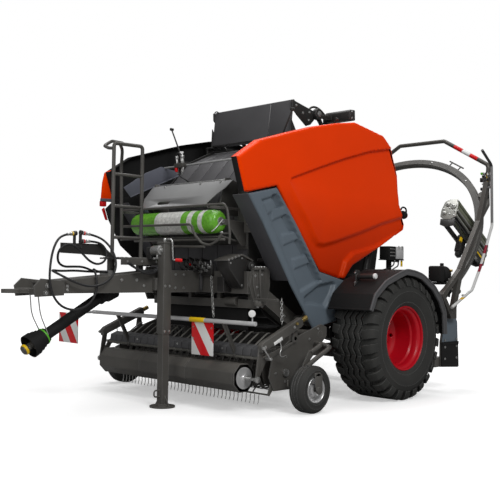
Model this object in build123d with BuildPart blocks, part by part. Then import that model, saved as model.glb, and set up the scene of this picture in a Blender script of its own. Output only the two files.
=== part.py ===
from build123d import *
import os
from math import cos, pi, radians, sin, tan

# Towed round baler with a ring wrapper, rebuilt from one photograph.
# Millimetres. The drawbar points to -X, the machine's left side to -Y, up is +Z.
# Lengths along the machine are measured from the main axle.
os.makedirs("parts", exist_ok=True)

# Overall sizes
nose_x = -3400.0
tail_x = 2500.0
middle_x = (nose_x + tail_x) / 2
half_width = 1470.0

# Clearances
pin_play = 0.3
seam = 8.0

# Wheels
axle_z = 585.0
tyre_r = 585.0
tyre_wide = 500.0
tyre_middle = half_width - tyre_wide / 2
tread_deep = 20.0
tread_blocks = 24
rim_r = 305.0
hub_bore = 48.0
hub_r = 95.0
stub_short = 90.0
gauge_x = -1222.0
gauge_y = 1290.0
gauge_r = 203.0
gauge_wide = 160.0
gauge_rim_r = 112.0
gauge_bore = 19.0

# Frame
sheet = 12.0
drawbar_half = 140.0
drawbar_low = 1000.0
wall_in = 615.0
wall_out = wall_in + sheet
beam_in = 640.0
beam_out = 740.0
beam_low = 400.0
beam_top = 500.0
member_top = 350.0

# Side covers
cover_out = 950.0
cover_in = 860.0
door_hinge_y = 850.0
door_hinge_z = 2690.0
door_pin_r = 12.0

# Tailgate and its cylinders
gate_x = -100.0
gate_z = 2440.0
gate_bore = 26.0
cylinder_y = 735.0
foot_x = 120.0
foot_z = 560.0
eye_x = 520.0
eye_z = 2050.0
eye_half = 15.0
foot_pin_r = 16.0
rod_r = 20.0

# Pickup
lift_x = -830.0
lift_z = 640.0
lift_pin_r = 30.0
reel_x = -1300.0
reel_z = 330.0
reel_bore = 30.0
tine_tip = 243.0
pickup_y = 1060.0
guard_pivot_x = -1200.0
guard_pivot_z = 620.0
guard_pin_r = 16.0
arm_y = 1080.0
guard_bar_x = -1580.0
guard_bar_z = 467.0
guard_bar_r = 17.0
marker_x = -1740.0
marker_z = 765.0
roller_x = -1680.0
roller_z = 300.0
journal_r = 20.0

# Binding roll and its lid
roll_x = -1640.0
roll_z = 1635.0
roll_r = 105.0
roll_half = 575.0
spigot_r = 30.0
lid_x = -1480.0
lid_z = 2022.0
lid_half = 490.0
lid_rod_r = 9.0

# Wrapping ring
ring_x = 1559.0
ring_z = 1514.0
ring_lean = 32.9
ring_out = 1313.0
ring_in = 1233.0
ring_thick = 80.0
film_half = 400.0
guide_r = 40.0

# Wrapping table and wrapper stands
table_x = 610.0
table_z = 1045.0
table_pin_r = 24.0
stand_y = 1380.0
pole_y = 1448.0
hoop_r = 25.0

sides = (("left", -1), ("right", 1))


def span(side, low, high):
    return (min(side * low, side * high), max(side * low, side * high))


def line_height(points, x):
    """Height at x of a line whose points run towards +X."""
    for (first_x, first_z), (last_x, last_z) in zip(points, points[1:]):
        if first_x <= x <= last_x:
            return first_z + (last_z - first_z) * (x - first_x) / (last_x - first_x)


def solid_box(x, y, z):
    with BuildPart() as made:
        with Locations(((x[0] + x[1]) / 2, (y[0] + y[1]) / 2, (z[0] + z[1]) / 2)):
            Box(x[1] - x[0], y[1] - y[0], z[1] - z[0])
    return made.part


def side_plate(points, y_low, y_high):
    """Plate with its outline in X and Z."""
    with BuildPart() as made:
        with BuildSketch(Plane.XZ.offset(-y_high)):
            with BuildLine():
                Polyline(*points, close=True)
            make_face()
        extrude(amount=y_high - y_low)
    return made.part


def cross_plate(points, x_low, x_high):
    """Plate with its outline in Y and Z."""
    with BuildPart() as made:
        with BuildSketch(Plane.YZ.offset(x_low)):
            with BuildLine():
                Polyline(*points, close=True)
            make_face()
        extrude(amount=x_high - x_low)
    return made.part


def round_bar(start, end, radius, bore=0.0):
    run = Vector(*end) - Vector(*start)
    with BuildPart(Plane(origin=start, z_dir=run)) as made:
        Cylinder(radius, run.length, align=(Align.CENTER, Align.CENTER, Align.MIN))
        if bore > 0:
            Cylinder(bore, run.length, align=(Align.CENTER, Align.CENTER, Align.MIN), mode=Mode.SUBTRACT)
    return made.part


def cross_bar(x, z, y, radius, bore=0.0):
    """Round bar across the machine, from y[0] to y[1]."""
    return round_bar((x, y[0], z), (x, y[1], z), radius, bore)


def cone_bar(start, end, first, last, wall=0.0):
    run = Vector(*end) - Vector(*start)
    with BuildPart(Plane(origin=start, z_dir=run)) as made:
        Cone(first, last, run.length, align=(Align.CENTER, Align.CENTER, Align.MIN))
        if wall > 0:
            Cone(first - wall, last - wall, run.length, align=(Align.CENTER, Align.CENTER, Align.MIN),
                 mode=Mode.SUBTRACT)
    return made.part


def square_bar(start, end, wide, deep, wall=0.0):
    """Bar whose wide side lies across the machine, or along it where the bar itself runs across."""
    run = Vector(*end) - Vector(*start)
    across = Vector(0, 1, 0)
    if abs(run.normalized().Y) > 0.9:
        across = Vector(1, 0, 0)
    across = across - run.normalized() * across.dot(run.normalized())
    with BuildPart() as made:
        with BuildSketch(Plane(origin=start, x_dir=across, z_dir=run)):
            Rectangle(wide, deep)
            if wall > 0:
                Rectangle(wide - 2 * wall, deep - 2 * wall, mode=Mode.SUBTRACT)
        extrude(amount=run.length)
    return made.part


def bent_tube(points, radius, bend):
    with BuildPart() as made:
        with BuildLine() as path:
            FilletPolyline(*points, radius=bend)
        with BuildSketch(Plane(origin=path.line @ 0, z_dir=path.line % 0)):
            Circle(radius)
        sweep(path=path.line)
    return made.part


def turned(points, centre, axis, across):
    """Outline of (radius, distance along the axis) points turned about the axis."""
    with BuildPart() as made:
        with BuildSketch(Plane(origin=centre, x_dir=across, z_dir=Vector(*across).cross(Vector(*axis)))):
            with BuildLine():
                Polyline(*points, close=True)
            make_face()
        revolve(axis=Axis(centre, axis), revolution_arc=360)
    return made.part


def keep(piece, name):
    """Moves a piece from the axle's frame to the middle of the whole length, and writes it."""
    placed = piece.moved(Location((-middle_x, 0, 0)))
    placed.label = name
    export_step(placed, f"parts/{name}.step")


# Chassis: drawbar, cross beam, side beams, axle, stubs, posts and rear cross member
drawbar_rise = [(-3060, 1095), (-2259, 1165), (-1908, 1198), (-1440, 1198)]
drawbar_top = drawbar_rise + [(x, z - sheet) for x, z in reversed(drawbar_rise)]
beam_line = [(-1440, 1150), (-1440, 1040), (-880, 700), (-880, beam_low), (850, beam_low), (850, beam_top),
             (-780, beam_top), (-780, 790), (-1320, 1120), (-1320, 1150)]
guard_seats = ((-798, 762, beam_out, 20), (-1180, 1300, wall_out, 22))
post_y = (beam_in + 20, beam_out)
with BuildPart() as chassis:
    for name, side in sides:
        add(side_plate([(-3060, drawbar_low)] + drawbar_rise + [(-1440, drawbar_low)],
                       *span(side, drawbar_half - sheet, drawbar_half)))
        add(side_plate(beam_line, *span(side, beam_in, beam_out)))
        add(solid_box((-60, 60), span(side, beam_in, beam_out), (beam_top, axle_z - 50)))
        add(solid_box((700, 850), span(side, beam_in, beam_out), (member_top, beam_low)))
        add(solid_box((table_x - 50, table_x + 50), span(side, *post_y), (beam_top, table_z + 50)))
        add(solid_box((300, 360), span(side, beam_in, 690), (beam_top, 900)))
        add(cross_bar(0, axle_z, span(side, 940, tyre_middle - stub_short), hub_bore - pin_play))
        add(cross_bar(lift_x, lift_z, span(side, beam_out, pickup_y + sheet + 4), lift_pin_r))
        x, z, y, r = guard_seats[0]
        add(cross_bar(x, z, span(side, y, cover_out - 16), r))
        add(solid_box((foot_x - 30, foot_x + 30), span(side, beam_out - 10, cylinder_y + 33), (470, beam_top)))
        add(solid_box((foot_x - 30, foot_x + 30), span(side, cylinder_y + 21, cylinder_y + 33), (470, foot_z + 30)))
        add(cross_bar(foot_x, foot_z, span(side, cylinder_y - 24, cylinder_y + 33), foot_pin_r))
        add(cross_bar(table_x, table_z, span(side, 600, 800), table_pin_r + pin_play), mode=Mode.SUBTRACT)
        add(side_plate([(-1387, 1233), (-1175, 1225), (-1172, 1068), (-1212, 901), (-1366, 904), (-1438, 1069)],
                       *span(side, beam_out, beam_out + 20)))
    add(solid_box((560, 600), (-beam_out, -beam_out + 40), (table_z + 50, 1240)))
    add(side_plate(drawbar_top, -drawbar_half + sheet, drawbar_half - sheet))
    add(solid_box((-1440, -1320), (-beam_out, beam_out), (drawbar_low, 1198)))
    add(solid_box((-50, 50), (-960, 960), (axle_z - 50, axle_z + 50)))
    add(solid_box((700, 850), (-1320, 1320), (250, member_top)))
    add(cross_bar(330, 870, (-beam_in, beam_in), 70))
keep(chassis.part, "chassis")

# Hitch: two cheek plates and a flat ring
eye_ring_r = 75.0
hitch_z = 1020.0
hitch_x = nose_x + eye_ring_r
with BuildPart() as hitch:
    for name, side in sides:
        add(side_plate([(-3200, 975), (-3215, 1060), (-3150, 1120), (-2940, 1100), (-2940, 985)],
                       *span(side, drawbar_half, drawbar_half + 14)))
        for x, z in ((-3095, 1062), (-3110, 1005)):
            add(cross_bar(x, z, span(side, drawbar_half + 14, drawbar_half + 26), 18))
    add(solid_box((-3200, -3061), (-drawbar_half, drawbar_half), (hitch_z - 20, hitch_z + 20)))
    with Locations((hitch_x, 0, hitch_z)):
        Cylinder(eye_ring_r, 32)
    add(solid_box((hitch_x + 25, -3190), (-50, 50), (hitch_z - 16, hitch_z + 16)))
    with Locations((hitch_x, 0, hitch_z)):
        Cylinder(25.5, 40, mode=Mode.SUBTRACT)
keep(hitch.part, "hitch_eye")

# Parking jack: square tube on the drawbar's left side, and its leg
jack_x = -1968.0
jack_y = -233.0
jack_tube_wide = 90.0
jack_leg_wide = 70.0
collar_wall = (jack_tube_wide - jack_leg_wide) / 2 - pin_play
with BuildPart() as jack_tube:
    add(square_bar((jack_x, jack_y, 640), (jack_x, jack_y, 1430), jack_tube_wide, jack_tube_wide, 4))
    add(square_bar((jack_x, jack_y, 640), (jack_x, jack_y, 675), jack_tube_wide, jack_tube_wide, collar_wall))
    add(solid_box((jack_x - 50, jack_x + 50), (jack_y - 50, jack_y + 50), (1430, 1450)))
    add(solid_box((jack_x - 60, jack_x + 60), (jack_y + jack_tube_wide / 2, -drawbar_half), (1020, 1130)))
    add(round_bar((jack_x, jack_y, 1450), (jack_x, jack_y, 1475), 16))
    add(round_bar((jack_x, jack_y, 1465), (jack_x - 150, jack_y - 40, 1465), 8))
    add(round_bar((jack_x - 145, jack_y - 39, 1465), (jack_x - 145, jack_y - 39, 1560), 12))
keep(jack_tube.part, "jack_tube")
with BuildPart() as jack_leg:
    add(square_bar((jack_x, jack_y, 26), (jack_x, jack_y, 1050), jack_leg_wide, jack_leg_wide, 5))
    with Locations((jack_x, jack_y, 7)):
        Cylinder(112, 14)
    with Locations((jack_x, jack_y, 20)):
        Cylinder(60, 16)
    for side in (-1, 1):
        add(cross_plate([(jack_y + side * 30, 24), (jack_y + side * 95, 14), (jack_y + side * 30, 110)],
                        jack_x - 4, jack_x + 4))
    add(bent_tube([(jack_x - 30, jack_y, 95), (jack_x - 95, jack_y, 95), (jack_x - 95, jack_y, 150),
                   (jack_x - 30, jack_y, 150)], 7, 20))
keep(jack_leg.part, "jack_leg")

# Drive shaft, its guard hung from the hitch, and the gearbox
shaft_front = Vector(-3182, 0, 559)
shaft_rear = Vector(-2330, 0, 1049)
shaft_way = (shaft_rear - shaft_front).normalized()
shaft_r = 28.0
guard_tube_r = 47.0
guard_collar_r = 60.0
strap_along = 198.0


def on_shaft(along, y=0.0):
    spot = shaft_front + shaft_way * along
    return (spot.X, y, spot.Z)


with BuildPart() as guard:
    add(round_bar(on_shaft(190), on_shaft(800), guard_tube_r, guard_tube_r - 6))
    add(cone_bar(on_shaft(30), on_shaft(200), 98, 56, 6))
    for start in (190, 790):
        add(round_bar(on_shaft(start), on_shaft(start + 16), guard_collar_r, shaft_r + pin_play))
    add(cone_bar(on_shaft(800), on_shaft(950), 56, 88, 6))
    add(solid_box((-3140, -3100), (-70, 70), (990, hitch_z - 20)))
    for side in (-1, 1):
        add(square_bar((-3120, side * 60, 992), on_shaft(strap_along, side * 55), 6, 22))
keep(guard.part, "shaft_guard")
with BuildPart() as shaft:
    add(round_bar(on_shaft(20), on_shaft(960), shaft_r))
    add(round_bar(on_shaft(-30), on_shaft(70), 40))
    add(round_bar(on_shaft(-30), on_shaft(30), 17.5), mode=Mode.SUBTRACT)
    add(round_bar(on_shaft(930), on_shaft(975), 40))
keep(shaft.part, "drive_shaft")
with BuildPart() as gearbox:
    add(round_bar((-2310, 0, 1082), (-1700, 0, 1082), 34))
    add(solid_box((-1760, -1440), (-drawbar_half + sheet, drawbar_half - sheet), (1010, 1180)))
keep(gearbox.part, "gearbox")

# Oil unit and valves on the cross beam
with BuildPart() as oil_unit:
    add(side_plate([(-1640, 1285), (-1620, 1215), (-1470, 1048), (-1440, 1048), (-1440, 1200), (-1345, 1200),
                    (-1345, 1285), (-1475, 1335)], -700, -540))
    add(cross_bar(-1375, 1245, (-725, -700), 36))
    add(cross_bar(-1375, 1255, (-738, -725), 16))
    add(solid_box((-1540, -1440), (-540, -450), (1010, 1150)))
keep(oil_unit.part, "oil_unit")
with BuildPart() as valves:
    add(solid_box((-1560, -1440), (420, 700), (1010, 1190)))
keep(valves.part, "valve_block")

# Ladder and platform on the drawbar
ladder_y = 150.0
ladder_front = -2255.0
ladder_rear = -1935.0
rail_y = 430.0
with BuildPart() as ladder:
    add(bent_tube([(ladder_front, ladder_y, 1215), (ladder_front, ladder_y, 2330), (ladder_rear, ladder_y, 2330),
                   (ladder_rear, ladder_y, 1215)], 17, 60))
    for z in (2050, 1765, 1485):
        add(round_bar((ladder_front, ladder_y, z), (ladder_rear, ladder_y, z), 13))
    add(solid_box((-2330, -1890), (-80, 230), (1290, 1304)))
    for x in (ladder_front, ladder_rear):
        add(solid_box((x - 25, x + 25), (drawbar_half, drawbar_half + 50), (1120, 1300)))
    add(bent_tube([(-1944, rail_y, 1470), (-1961, rail_y, 2250), (-2074, rail_y, 2394), (-2165, rail_y, 2340),
                   (-2190, rail_y, 1470)], 15, 40))
    for x, far_x in ((ladder_front, -2190), (ladder_rear, -1944)):
        add(round_bar((x, ladder_y, 1485), (far_x, rail_y, 1485), 13))
keep(ladder.part, "ladder")

# Hoses: (x, y, z) points of each route, from its gland on the drawbar to its coupler in the holder
hose_r = 9.5
coupler_r = 14.0
hose_routes = {
    "hose_1": [(-2420, 80, 1176), (-2530, 80, 1176), (-2690, 72, 1186), (-2840, 55, 1180), (-2950, 10, 1186),
               (-3010, -90, 1180), (-2965, -185, 1135), (-2850, -212, 1080), (-2715, -215, 1052),
               (-2580, -210, 1082), (-2480, -195, 1160), (-2432, -160, 1262), (-2440, -105, 1370),
               (-2490, -50, 1450), (-2570, -18, 1486), (-2640, -12, 1496)],
    "hose_2": [(-2420, -5, 1176), (-2520, -5, 1176), (-2605, -62, 1205), (-2642, -155, 1172),
               (-2636, -178, 1068), (-2662, -180, 968), (-2742, -180, 890), (-2860, -175, 862),
               (-2975, -168, 895), (-3060, -175, 985), (-3095, -180, 1105), (-3080, -165, 1235),
               (-3030, -120, 1350), (-2950, -60, 1438), (-2865, -20, 1478), (-2800, -12, 1488)],
    "hose_3": [(-2420, 38, 1176), (-2520, 38, 1176), (-2640, 22, 1218), (-2770, -12, 1218),
               (-2885, -50, 1215), (-2965, -85, 1255), (-2975, -110, 1345), (-2905, -120, 1405),
               (-2815, -115, 1385), (-2735, -100, 1325), (-2655, -88, 1262), (-2562, -74, 1236),
               (-2478, -60, 1268), (-2446, -44, 1345), (-2490, -26, 1415), (-2570, -14, 1434),
               (-2640, -12, 1432)],
}


def cord_tube(points, radius, name):
    """Straight runs joined by arcs, each as large as its two runs allow."""
    spots = [Vector(*point) for point in points]
    bends = []
    for before, here, after in zip(spots, spots[1:], spots[2:]):
        turn = (here - before).get_angle(after - here)
        shorter = min((here - before).length, (after - here).length)
        bends.append(0.45 * shorter / tan(radians(turn / 2)))
    with BuildPart() as made:
        with BuildLine() as path:
            FilletPolyline(*points, radius=bends)
        with BuildSketch(Plane(origin=path.line @ 0, z_dir=path.line % 0)):
            Circle(radius)
        sweep(path=path.line)
    length = sum(edge.length for edge in path.edges())
    print(name, "radii", [round(bend) for bend in bends], "length", round(length), "volume share",
          round(made.part.volume / (pi * radius ** 2 * length), 4))
    return made.part


with BuildPart() as couplers:
    for name, points in hose_routes.items():
        end = Vector(*points[-1])
        way = (end - Vector(*points[-2])).normalized()
        add(round_bar(tuple(end), tuple(end + way * 60), coupler_r))
        add(round_bar(tuple(end + way * 14), tuple(end + way * 26), coupler_r + 4))
keep(couplers.part, "couplers")
with BuildPart() as holder:
    add(side_plate([(-2880, 1330), (-2880, 1414), (-2475, 1414), (-2330, 1303), (-2330, 1291), (-2475, 1318)],
                   2, 10))
    add(solid_box((-2340, -2330), (-60, 100), (1291, 1303)))
    for name, points in hose_routes.items():
        end = Vector(*points[-1])
        way = (end - Vector(*points[-2])).normalized()
        seat = end + way * 52
        add(round_bar(tuple(end + way * 40), tuple(end + way * 64), coupler_r + 6))
        add(solid_box((seat.X - 10, seat.X + 10), (seat.Y, 10), (1380, seat.Z)))
    for name, points in hose_routes.items():
        end = Vector(*points[-1])
        way = (end - Vector(*points[-2])).normalized()
        add(round_bar(tuple(end + way * 30), tuple(end + way * 60.3), coupler_r + pin_play), mode=Mode.SUBTRACT)
keep(holder.part, "hose_holder")
with BuildPart() as glands:
    x = hose_routes["hose_1"][0][0]
    low = [(at, line_height(drawbar_rise, at)) for at in (x, x + 45)]
    add(side_plate(low + [(x + 45, 1190), (x, 1190)], -25, 100))
keep(glands.part, "hose_glands")
for name, points in hose_routes.items():
    keep(cord_tube(points, hose_r, name), name)

# Bale chamber: two walls, cross tubes and drums
wall_line = [(-1320, 1000), (-1320, 1560), (-1300, 1950), (-1000, 2300), (-600, 2480), (-150, 2540), (-40, 2540),
             (20, 2500), (40, 2440), (40, 700), (-300, 610), (-800, 640), (-1100, 800), (-1260, 1000)]
drums = ((-1190, 1060), (-1000, 860), (-640, 760), (-330, 760), (-60, 840))
drum_r = 95.0
with BuildPart() as chamber:
    for name, side in sides:
        add(side_plate(wall_line, *span(side, wall_in, wall_out)))
        add(cross_bar(gate_x, gate_z, span(side, wall_out, wall_out + 29), gate_bore - pin_play))
        x, z, y, r = guard_seats[1]
        add(cross_bar(x, z, span(side, y, cover_out - 16), r))
    for x, z in drums:
        add(cross_bar(x, z, (-wall_in, wall_in), drum_r))
    for x, z in ((-1205, 1930), (-900, 2240), (-250, 2470)):
        add(cross_bar(x, z, (-wall_in, wall_in), 40))
keep(chamber.part, "chamber")
with BuildPart() as belts:
    add(side_plate([(-1312, 1200), (-1312, 1560), (-1300, 1880), (-1262, 1990), (-980, 2290), (-600, 2455),
                    (-320, 2490), (-320, 2478), (-600, 2443), (-974, 2276), (-1252, 1982), (-1288, 1876),
                    (-1300, 1560), (-1300, 1200)], -wall_in, wall_in))
keep(belts.part, "front_belts")

# Chains from drum to drum on both sides of the chamber
sprocket_r = 63.0
chain_y = beam_out + 10
with BuildPart() as chains:
    for name, side in sides:
        low, high = span(side, chain_y, chain_y + 20)
        for outer, mode in ((sprocket_r + 11, Mode.ADD), (sprocket_r - 1, Mode.SUBTRACT)):
            with BuildSketch(Plane.XZ.offset(-high)):
                for x, z in drums[2:]:
                    with Locations((x, z)):
                        Circle(outer)
                make_hull()
            extrude(amount=high - low, mode=mode)
        for x, z in drums[2:]:
            add(cross_bar(x, z, span(side, chain_y + 4, chain_y + 16), sprocket_r))
            add(cross_bar(x, z, span(side, wall_out, chain_y + 24), 25))
keep(chains.part, "chain_drives")

# Tailgate: side plates, rear sheet and rollers, hung on two arms
gate_line = [(50, 2425), (50, 955), (300, 975), (610, 1200), (712, 1720), (560, 2180), (320, 2370), (120, 2425)]
with BuildPart() as tailgate:
    for name, side in sides:
        add(side_plate(gate_line, *span(side, wall_in, wall_out)))
    add(side_plate([(300, 975), (610, 1200), (712, 1720), (560, 2180), (320, 2370), (310, 2358), (548, 2172),
                    (698, 1720), (600, 1206), (292, 985)], -wall_in, wall_in))
    for x, z in ((150, 1015), (200, 2330)):
        add(cross_bar(x, z, (-wall_in, wall_in), 50))
keep(tailgate.part, "tailgate")
arm_line = [(-150, 2390), (-150, 2490), (-100, 2510), (230, 2400), (560, 2110), (565, 2020), (500, 2000),
            (150, 2250), (60, 2260)]
with BuildPart() as gate_arms:
    for name, side in sides:
        add(side_plate(arm_line, *span(side, wall_out + 6, wall_out + 18)))
        add(side_plate([(80, 2300), (80, 2400), (200, 2380), (500, 2120), (500, 2040), (200, 2250)],
                       *span(side, wall_out, wall_out + 6)))
        add(cross_bar(gate_x, gate_z, span(side, wall_out, wall_out + 40), gate_bore), mode=Mode.SUBTRACT)
        add(cross_bar(eye_x, eye_z, span(side, wall_out + 6, cylinder_y - eye_half - 8), 22))
keep(gate_arms.part, "gate_arms")

# Tailgate cylinders
barrel_long = 1440.0
barrel_r = 38.0
for name, side in sides:
    foot = Vector(foot_x, side * cylinder_y, foot_z)
    eye = Vector(eye_x, side * cylinder_y, eye_z)
    way = (eye - foot).normalized()
    eye_span = span(side, cylinder_y - eye_half, cylinder_y + eye_half)
    with BuildPart() as barrel:
        add(round_bar(tuple(foot + way * 50), tuple(foot + way * barrel_long), barrel_r))
        add(round_bar(tuple(foot + way * 110), tuple(foot + way * (barrel_long - 30)), barrel_r - 9),
            mode=Mode.SUBTRACT)
        add(round_bar(tuple(foot + way * 110), tuple(foot + way * (barrel_long + 1)), rod_r + pin_play),
            mode=Mode.SUBTRACT)
        add(round_bar(tuple(foot + way * 25), tuple(foot + way * 50), 15))
        add(cross_bar(foot_x, foot_z, eye_span, 36))
        add(cross_bar(foot_x, foot_z, span(side, cylinder_y - 40, cylinder_y + 40), foot_pin_r + pin_play),
            mode=Mode.SUBTRACT)
    keep(barrel.part, f"lift_barrel_{name}")
    with BuildPart() as rod:
        add(round_bar(tuple(foot + way * 130), tuple(eye - way * 34), rod_r))
        add(cross_bar(eye_x, eye_z, eye_span, 36))
        add(cross_bar(eye_x, eye_z, span(side, cylinder_y - 40, cylinder_y + 40), 20), mode=Mode.SUBTRACT)
    keep(rod.part, f"lift_rod_{name}")

# Side doors, hinged above the chamber on pins along the machine
door_rise = [(-1786, 2166), (-1511, 2341), (-1115, 2459), (-796, 2551), (-457, 2626), (-170, 2673)]
door_line = door_rise + [(300, 2600), (459, 2483), (574, 2216), (606, 1914), (709, 1712), (695, 1662),
                         (234, 1449), (-193, 1265), (-312, 1138), (-659, 1215), (-1015, 1639),
                         (-1288, 1956), (-1651, 1874), (-1688, 1878)]
door_front = [(-1786, 2166), (-1688, 1878), (-1674, 1881), (-1772, 2172)]
door_dip = [(-995, 2064), (-336, 2273), (459, 2470), (574, 1850), (-500, 1485), (-760, 1495)]
door_hinges = ((-1000, 2280), (-350, 2480))
knuckle_half = 20.0
knuckle_r = 22.0
for name, side in sides:
    with BuildPart() as door:
        add(side_plate(door_line, *span(side, cover_out - 22, cover_out)))
        add(side_plate(door_dip, *span(side, cover_out - 12, cover_out + 5)), mode=Mode.SUBTRACT)
        add(side_plate(door_rise + [(x, z - sheet) for x, z in reversed(door_rise)],
                       *span(side, cover_in, cover_out)))
        add(side_plate(door_front, *span(side, cover_in, cover_out)))
        for x, wall_z in door_hinges:
            reach = knuckle_half + pin_play + 16
            add(round_bar((x - reach, side * door_hinge_y, door_hinge_z),
                          (x + reach, side * door_hinge_y, door_hinge_z), door_pin_r))
            for start in (x - reach, x + reach - 12):
                low = line_height(door_rise, start) - 8
                add(cross_plate([(side * (door_hinge_y - 18), door_hinge_z - 8),
                                 (side * (door_hinge_y - 8), door_hinge_z + 18),
                                 (side * (door_hinge_y + 18), door_hinge_z + 12),
                                 (side * (cover_in + 50), low), (side * (cover_in + 2), low)],
                                start, start + 12))
    keep(door.part, f"side_door_{name}")
with BuildPart() as brackets:
    for name, side in sides:
        for x, wall_z in door_hinges:
            add(square_bar((x, side * (wall_out + 12), wall_z), (x, side * door_hinge_y, door_hinge_z),
                           26, 2 * knuckle_half))
            add(solid_box((x - 50, x + 50), span(side, wall_out, wall_out + 14), (wall_z - 60, wall_z + 50)))
            add(round_bar((x - knuckle_half, side * door_hinge_y, door_hinge_z),
                          (x + knuckle_half, side * door_hinge_y, door_hinge_z), knuckle_r))
            add(round_bar((x - 60, side * door_hinge_y, door_hinge_z),
                          (x + 60, side * door_hinge_y, door_hinge_z), door_pin_r + pin_play),
                mode=Mode.SUBTRACT)
keep(brackets.part, "door_brackets")

# Front guards
guard_line = [(-1649, 1862), (-1296, 1940), (-1020, 1622), (-700, 1206), (-324, 1122), (-422, 744), (-775, 676),
              (-1088, 1073), (-1460, 1620)]
guard_dip = [(-1540, 1815), (-1325, 1870), (-1010, 1490), (-770, 1180), (-1010, 1120), (-1380, 1620)]
guard_front = [(-1649, 1862), (-1460, 1620), (-1088, 1073), (-1076, 1081), (-1448, 1628), (-1634, 1866)]
for name, side in sides:
    with BuildPart() as front_guard:
        add(side_plate(guard_line, *span(side, cover_out - 16, cover_out)))
        add(side_plate(guard_dip, *span(side, cover_out - 8, cover_out + 5)), mode=Mode.SUBTRACT)
        add(side_plate(guard_front, *span(side, cover_out - 150, cover_out)))
    keep(front_guard.part, f"front_guard_{name}")

# Fenders over the wheels
fender_line = [(-615, 867), (-548, 1009), (-380, 1130), (-154, 1208), (-41, 1236), (236, 1189), (443, 1078),
               (572, 952), (649, 814), (663, 600)]
fender_under = [(648, 600), (634, 809), (560, 940), (434, 1064), (230, 1174), (-41, 1221), (-150, 1193),
                (-372, 1116), (-537, 998), (-602, 862)]
for name, side in sides:
    with BuildPart() as fender:
        add(side_plate(fender_line + fender_under, *span(side, 985, half_width - 5)))
        for x, z in ((-230, 1165), (430, 1042)):
            add(square_bar((x, side * beam_out, z), (x, side * 1100, z), 40, 30))
            add(solid_box((x - 20, x + 20), span(side, beam_out - 20, beam_out), (beam_top, z + 15)))
    keep(fender.part, f"fender_{name}")

# Main wheels: tread blocks in two staggered rows, cut to the tyre's round
tyre_half = tyre_wide / 2
carcass_r = tyre_r - tread_deep
carcass_line = [(rim_r - 15, -188), (rim_r + 2, -190), (rim_r + 2, -212), (rim_r + 20, -225), (420, -tyre_half),
                (510, -238), (carcass_r - 8, -200), (carcass_r, -150), (carcass_r, 150), (carcass_r - 8, 200),
                (510, 238), (420, tyre_half), (rim_r + 20, 225), (rim_r + 2, 212), (rim_r + 2, 190),
                (rim_r - 15, 188)]
tread_line = [(carcass_r - 40, -232), (tyre_r - 14, -216), (tyre_r, -178), (tyre_r, 178), (tyre_r - 14, 216),
              (carcass_r - 40, 232), (carcass_r - 60, 200), (carcass_r - 14, 150), (carcass_r - 14, -150),
              (carcass_r - 60, -200)]
rim_line = [(rim_r, -205), (rim_r, -192), (rim_r - 16, -188), (rim_r - 16, 188), (rim_r, 192), (rim_r, 205),
            (rim_r - 16, 200), (rim_r - 24, 168), (rim_r - 42, 158), (rim_r - 46, -62), (205, -96), (150, -104),
            (hub_r, -100), (hub_r, -60), (0, -60), (0, 15 - stub_short), (hub_bore, 15 - stub_short),
            (hub_bore, -200), (hub_r, -200), (hub_r, -116), (150, -120), (200, -112), (rim_r - 46, -84),
            (rim_r - 24, -120), (rim_r - 24, -196)]
block_places = []
for row in (-1, 1):
    for number in range(tread_blocks):
        turn = radians((number + 0.25 * row) * 360 / tread_blocks)
        out = Vector(sin(turn), 0, -cos(turn))
        foot = Plane(origin=out * (carcass_r - 62), x_dir=(0, 1, 0), z_dir=out)
        block_places.append(foot.location * Location((row * 122, 0, 0), (0, 0, row * 22)))
with BuildPart() as tread:
    with Locations(*block_places):
        Box(226, 88, 90, align=(Align.CENTER, Align.CENTER, Align.MIN))
    add(turned(tread_line, (0, 0, 0), (0, 1, 0), (1, 0, 0)), mode=Mode.INTERSECT)
with BuildPart() as wheel_tyre:
    add(turned(carcass_line, (0, 0, 0), (0, 1, 0), (1, 0, 0)))
    add(tread.part)
for name, side in sides:
    hub = (0, side * tyre_middle, axle_z)
    keep(wheel_tyre.part.moved(Location(hub)), f"tyre_{name}")
    with BuildPart() as rim:
        add(turned(rim_line, hub, (0, side, 0), (1, 0, 0)))
    keep(rim.part, f"rim_{name}")

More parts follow.
